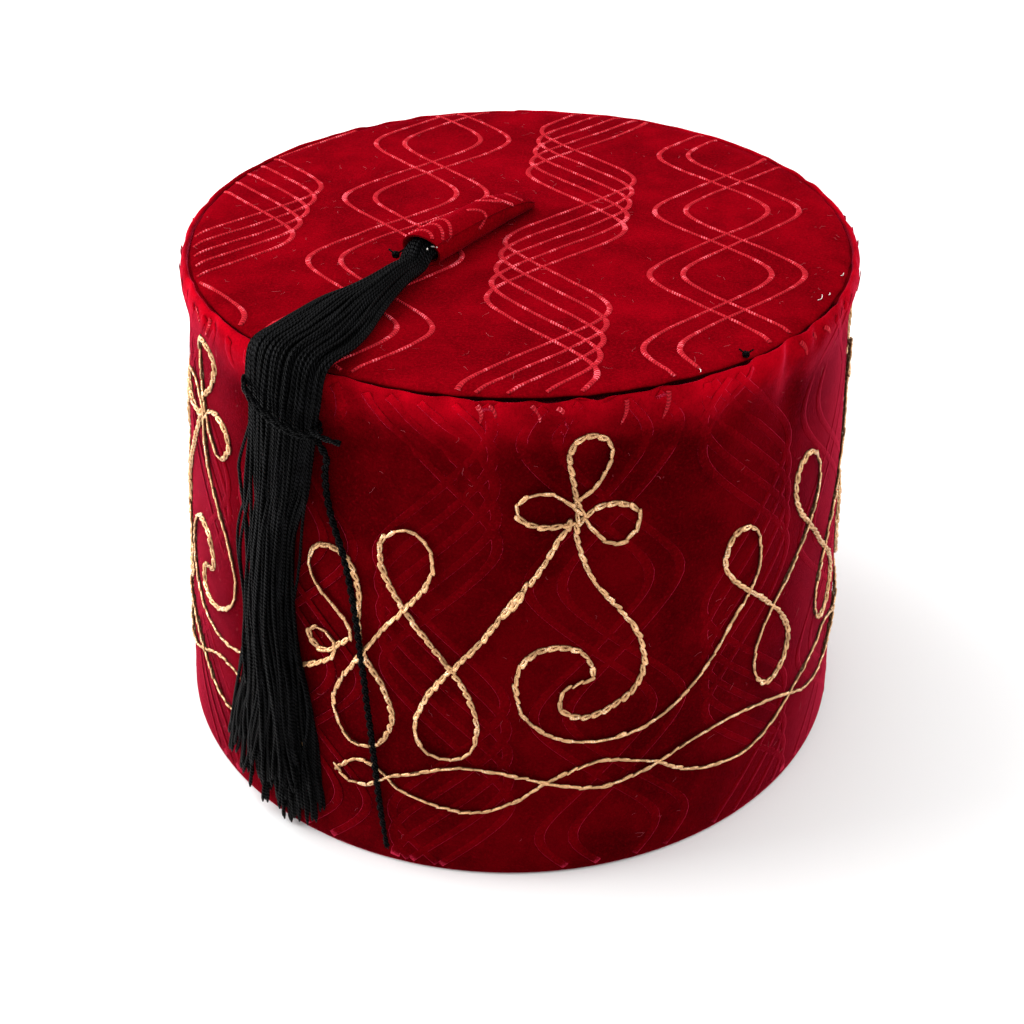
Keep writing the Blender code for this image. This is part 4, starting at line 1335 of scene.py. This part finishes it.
class FEZ_OT_tassel(bpy.types.Operator):
    """Make the tassel's threads, one by one, from the sleeve over the rim and down the wall"""

    bl_idname = "fez.tassel"
    bl_label = "Tassel threads"

    GOLDEN = 2.399963
    LOCKS_FROM = 0.15
    SPREAD_POWER = 2.2
    WAIST = 0.66
    SETTLED_AT = 0.45
    STEP = 0.0014
    SIDES = 6
    PIECES = 3
    # Threads that stray to the left or right of the fringe: side share at the end, bulge, its height share, end.
    STRAYS = [
        (-0.95, -0.0050, 0.72, 0.30), (-0.92, -0.0038, 0.66, 0.24), (-0.86, -0.0052, 0.58, 0.16),
        (-0.9, -0.0030, 0.50, 0.12), (0.9, 0.0030, 0.42, 0.20), (0.86, 0.0022, 0.62, 0.14),
        (-0.97, -0.0060, 0.63, 0.38), (0.95, 0.0036, 0.30, 0.10),
    ]

    def thread(self, frames, lock, spot, across_share, depth_share, draw, stray=None):
        """One thread's points and normals."""
        leaves, ends, end_height, layer, size = lock
        tangents = directions(frames[:, :3])
        side = unit(np.cross(frames[:, 3:6], tangents))
        up = np.cross(tangents, side)
        sway = 0.06 * np.sin(np.arange(len(frames)) * draw.uniform(0.5, 0.9) + draw.uniform(0, 6))
        share = np.clip(across_share + sway, -1, 1)
        room = np.sqrt(np.clip(1 - share**2, 0.02, 1))
        inner = 1 - settings().thread / frames[:, 7]
        points = (frames[:, :3] + side * (share * frames[:, 6] / 2 * 0.96)[:, None]
                  + up * (depth_share * room * inner * frames[:, 7] / 2)[:, None])
        normals = up
        along = np.linspace(0.05, 1, 18)
        end = end_height - 0.016 + 0.13 * draw.random()**2.2
        if stray:
            end = stray[3]
        run = self.LOCKS_FROM + (1 - max(end, 0.006) - self.LOCKS_FROM) * along
        middle = np.array([looked_up(HANGING, r)[0] for r in run])
        twist = draw.uniform(-1.5, 1.5) * along
        spot_side = spot[0] * np.cos(twist) - spot[1] * np.sin(twist)
        spot_up = spot[0] * np.sin(twist) + spot[1] * np.cos(twist)
        leaves = leaves * self.WAIST
        sideways = (leaves + (ends - leaves) * along**self.SPREAD_POWER) * TASSEL_WIDTH / 2
        spread = size * (1.0 - 0.30 * along - 0.30 * along**6)
        sideways = sideways + spot_side * spread * LOCK_WIDTH / 2
        gathered = across_share * frames[-1, 6] / 2 * 0.96
        loosened = ease(along / 0.30)
        sideways = gathered + (sideways - gathered) * loosened
        phase, waves = draw.uniform(0, 6.28), draw.uniform(1.2, 2.6)
        sideways = sideways + 0.0011 * np.sin(6.28 * waves * along + phase) * along
        sideways = sideways + draw.gauss(0, 0.0010) * along**2
        sideways = sideways + 0.0012 * np.sin(7.5 * along + 37 * leaves) * along
        if stray:
            sideways = sideways + stray[1] * np.exp(-(((1 - run) - stray[2]) / 0.13) ** 2)
        height = HEIGHT * (1 - run)
        azimuth = middle + np.degrees(sideways / wall_radius(height))
        settle = 1 - ease(along / self.SETTLED_AT)
        out = CLEARANCE + size * LOCK_THICKNESS / 2 * (1 + 0.9 * spot_up) + layer * 0.62 * LOCK_THICKNESS
        out = np.maximum(out, settings().thread * 0.55) + settle * TIE_ROOM
        packed = CLEARANCE + TIE_ROOM + frames[-1, 7] / 2 * (1 + depth_share * room[-1] * 0.9)
        out = packed + (out - packed) * loosened
        hanging = outward(azimuth) * (wall_radius(height) + out)[:, None]
        hanging[:, 0] += LEAN * height / HEIGHT
        hanging[:, 2] = height
        points = np.vstack([points, hanging[1:]])
        normals = np.vstack([normals, outward(azimuth)[1:]])
        smooth = smooth_path(np.hstack([points, normals]), 10)
        return evenly(smooth, self.STEP)

    def execute(self, context):
        s = settings()
        frames = head_frames()
        draw = random.Random(2)
        total = s.threads_a_lock * len(LOCKS)
        spots = []
        for k in range(total):
            radius, angle = math.sqrt((k + 0.5) / total), k * self.GOLDEN
            spots.append((radius * math.cos(angle), radius * math.sin(angle)))
        # Each lock takes the threads of the head that lie nearest to where it leaves it.
        left = set(range(total))
        skeins = [Skein() for _ in range(self.PIECES)]
        order = sorted(range(len(LOCKS)), key=lambda k: -abs(LOCKS[k][0]))
        count = 0
        for number in order:
            lock = LOCKS[number]
            height = 0.55 if lock[3] > 0 else -0.25
            at = lock[0] * 1.45
            near = sorted(left, key=lambda k: abs(spots[k][0] - at) + 0.8 * abs(spots[k][1] - height))
            for rank, k in enumerate(near[: s.threads_a_lock]):
                left.discard(k)
                radius, angle = math.sqrt((rank + 0.5) / s.threads_a_lock), rank * self.GOLDEN
                spot = (radius * math.cos(angle), radius * math.sin(angle))
                row = self.thread(frames, lock, spot, spots[k][0], spots[k][1], draw)
                self.add(skeins[count % self.PIECES], row, draw)
                count += 1
        for side, bulge, at, end in self.STRAYS:
            lock = LOCKS[2] if side < 0 else LOCKS[7]
            stray = (side, bulge, at, max(end - 0.1, 0.03))
            row = self.thread(frames, lock, (side, 0.6), side, 0.4, draw, stray)
            self.add(skeins[count % self.PIECES], row, draw)
            count += 1
        for number, skein in enumerate(skeins):
            piece = skein.piece(f"tassel_threads_{number + 1}", thread_rayon())
            dress(piece, "black_rayon", *(["tassel"] if number == 0 else []))
        return {"FINISHED"}

    def add(self, skein, row, draw):
        radius = settings().thread / 2 * draw.uniform(0.92, 1.08)
        share = np.linspace(0, 1, len(row))
        swell = 1 + 0.25 * ease((share - 0.965) / 0.02) - 0.75 * ease((share - 0.992) / 0.008)
        ring = circle_ring(self.SIDES, radius)[None] * swell[:, None, None]
        skein.add(row[:, :3], unit(row[:, 3:6]), ring, draw.random())


class FEZ_OT_tie(bpy.types.Operator):
    """Make the thin cord tied round the tassel, with its cut end"""

    bl_idname = "fez.tie"
    bl_label = "Tie"

    DIAMETER = 0.0013
    TURN = 0.0058
    SLANT = 0.0014
    SAG = 0.0026
    POINTS = 72

    def execute(self, context):
        frames = head_frames()
        row = frames[3 + TIE_SECTION]
        before, after = frames[2 + TIE_SECTION], frames[4 + TIE_SECTION]
        along = unit(after[:3] - before[:3])
        side = unit(np.cross(along, row[3:6]))
        up = np.cross(side, along)
        skein = Skein()
        for start, lift, shift in ((0.0, 0.0, -0.0010), (0.7, 0.0001, -0.0001)):
            angle = np.linspace(start, start + 2 * math.pi * 1.0, self.POINTS)
            half_width = row[6] / 2 + self.DIAMETER / 2
            half_thick = row[7] / 2 + self.DIAMETER / 2 + lift
            path = (row[:3] + side * (half_width * np.cos(angle))[:, None] + up * (half_thick * np.sin(angle))[:, None]
                    + along * (shift - self.SLANT * np.cos(angle) + self.SAG * np.sin(angle).clip(0))[:, None])
            path = evenly(path, 0.0003)
            normals = unit(path - row[:3] - along * ((path - row[:3]) @ along)[:, None])
            twisted(skein, path, normals, self.DIAMETER, self.TURN, 7, 0.2)
        end_from = row[:3] - side * (row[6] / 2 - 0.0010) + up * row[7] / 4 + along * (self.SLANT - 0.0010)
        end_to = end_from - side * 0.0085 - up * 0.0002 - along * 0.0010
        middle = (end_from + end_to) / 2 + up * 0.0006
        stub = evenly(smooth_path([end_from, middle, end_to], 12), 0.0003)
        twisted(skein, stub, np.tile(up, (len(stub), 1)), self.DIAMETER * 1.1, self.TURN, 7, 0.6)
        dress(skein.piece("twisted_tie", cord_rayon()), "black_rayon", "tassel_tie")
        return {"FINISHED"}


def fibre(skein, point, normal, heading, length, radius, bend, draw, sides=3):
    """A thin loose thread lying on a surface."""
    aside = unit(np.cross(normal, heading))
    share = np.linspace(-0.5, 0.5, 7)[:, None]
    line = point + heading * length * share + aside * bend * length * (share**2 * 4 - 0.5)
    line = line + aside * draw.uniform(-0.08, 0.08) * length * np.sin(share * 9)
    line = line + normal * (radius + 0.0001 + 0.0003 * draw.random() * (0.5 + share))
    skein.add(line, np.tile(normal, (len(line), 1)), circle_ring(sides, radius), draw.random())


class FEZ_OT_small_things(bpy.types.Operator):
    """Make the knots, the bits of white thread and the lint"""

    bl_idname = "fez.small_things"
    bl_label = "Knots and lint"

    LINT_RADIUS = 0.000026
    WHITE_RADIUS = 0.00009
    KNOTS = [
        # x and y from the crown's middle, height over it, size
        ((0.0490, -0.0655), 0.0006, 0.0013),
        ((-0.0300, -0.0203), 0.0022, 0.0015),
    ]

    def execute(self, context):
        draw = random.Random(9)
        lint, white, black = Skein(), Skein(), Skein()
        up = np.array((0.0, 0.0, 1.0))
        for number in range(settings().lint):
            turn = draw.uniform(0, 2 * math.pi)
            length = draw.choice((0.0006, 0.001, 0.0015, 0.0022))
            if number % 5 < 2:
                reach, around = 0.98 * math.sqrt(draw.random()) * CROWN_RADIUS, draw.uniform(0, 2 * math.pi)
                point = crown_point(reach * math.cos(around), reach * math.sin(around))
                normal, heading = up, np.array((math.cos(turn), math.sin(turn), 0.0))
            else:
                azimuth, height = draw.uniform(-180, 180), draw.uniform(0.004, HEIGHT - 0.008)
                point, normal = wall_point(azimuth, height), outward(azimuth)
                heading = np.cross(normal, up) * math.cos(turn) + up * math.sin(turn)
            fibre(lint, point, normal, heading, length, self.LINT_RADIUS, draw.uniform(-0.22, 0.22), draw)
        for azimuth, reach, heading, length in WHITE_BITS:
            x, y = (reach * CROWN_RADIUS * outward(float(azimuth)))[:2]
            turn = math.radians(heading)
            fibre(white, crown_point(x, y), up, np.array((math.cos(turn), math.sin(turn), 0.0)), length,
                  self.WHITE_RADIUS, 0.18, draw, 5)
        mouth, forward, across, _ = sleeve_axes()
        for shift, bend in ((-0.0030, 0.5), (-0.0018, -0.4)):
            spot = mouth + forward * 0.0004 + across * shift + up * 0.0062
            fibre(white, spot, up, unit(forward + across * bend), 0.0028, 0.00018, bend, draw, 5)
        for (x, y), rise, size in self.KNOTS:
            middle = crown_point(x, y)[()] + up * rise
            for turn in range(3):
                tilt = math.radians(60 * turn)
                axis = np.array((math.cos(tilt), math.sin(tilt), 0.4))
                first = unit(np.cross(axis, up))
                second = unit(np.cross(axis, first))
                angle = np.linspace(0, 2 * math.pi, 19)[:-1]
                loop = middle + size * 0.45 * (first * np.cos(angle)[:, None] + second * np.sin(angle)[:, None])
                black.add(loop, unit(loop - middle), circle_ring(6, size * 0.26), draw.random(), closed=True)
            for way in (20, 150, 250):
                heading = np.array((math.cos(math.radians(way)), math.sin(math.radians(way)), 0.5))
                line = middle + unit(heading) * np.linspace(0, 1.5 * size, 5)[:, None]
                black.add(line, np.tile(up, (5, 1)), circle_ring(5, size * 0.16), draw.random())
        dress(lint.piece("lint_fibres", plain_fibre("lint", (0.50, 0.07, 0.09))), "velvet")
        dress(white.piece("white_thread_bits", plain_fibre("white_thread", (0.86, 0.80, 0.74))), "gold_thread")
        dress(black.piece("thread_knots", cord_rayon()), "black_rayon")
        return {"FINISHED"}


class FEZ_PT_panel(bpy.types.Panel):
    """Buttons that make the pieces of the fez, and their settings"""

    bl_idname = "FEZ_PT_panel"
    bl_label = "Velvet fez"
    bl_space_type = "VIEW_3D"
    bl_region_type = "UI"
    bl_category = "Fez"

    def draw(self, context):
        for name in FezSettings.__annotations__:
            self.layout.prop(context.scene.fez, name)
        for operator in OPERATORS:
            self.layout.operator(operator.bl_idname)


OPERATORS = (
    FEZ_OT_stage,
    FEZ_OT_tail_cord,
    FEZ_OT_wall,
    FEZ_OT_crown,
    FEZ_OT_crown_lines,
    FEZ_OT_wall_lines,
    FEZ_OT_gold,
    FEZ_OT_sleeve,
    FEZ_OT_tassel,
    FEZ_OT_tie,
    FEZ_OT_small_things,
)
CLASSES = (FezSettings, *OPERATORS, FEZ_PT_panel)


def register():
    for item in CLASSES:
        bpy.utils.register_class(item)
    bpy.types.Scene.fez = bpy.props.PointerProperty(type=FezSettings)


def unregister():
    del bpy.types.Scene.fez
    for item in reversed(CLASSES):
        bpy.utils.unregister_class(item)


def main():
    register()
    for operator in OPERATORS:
        group, name = operator.bl_idname.split(".")
        getattr(getattr(bpy.ops, group), name)()


if __name__ == "__main__":
    main()
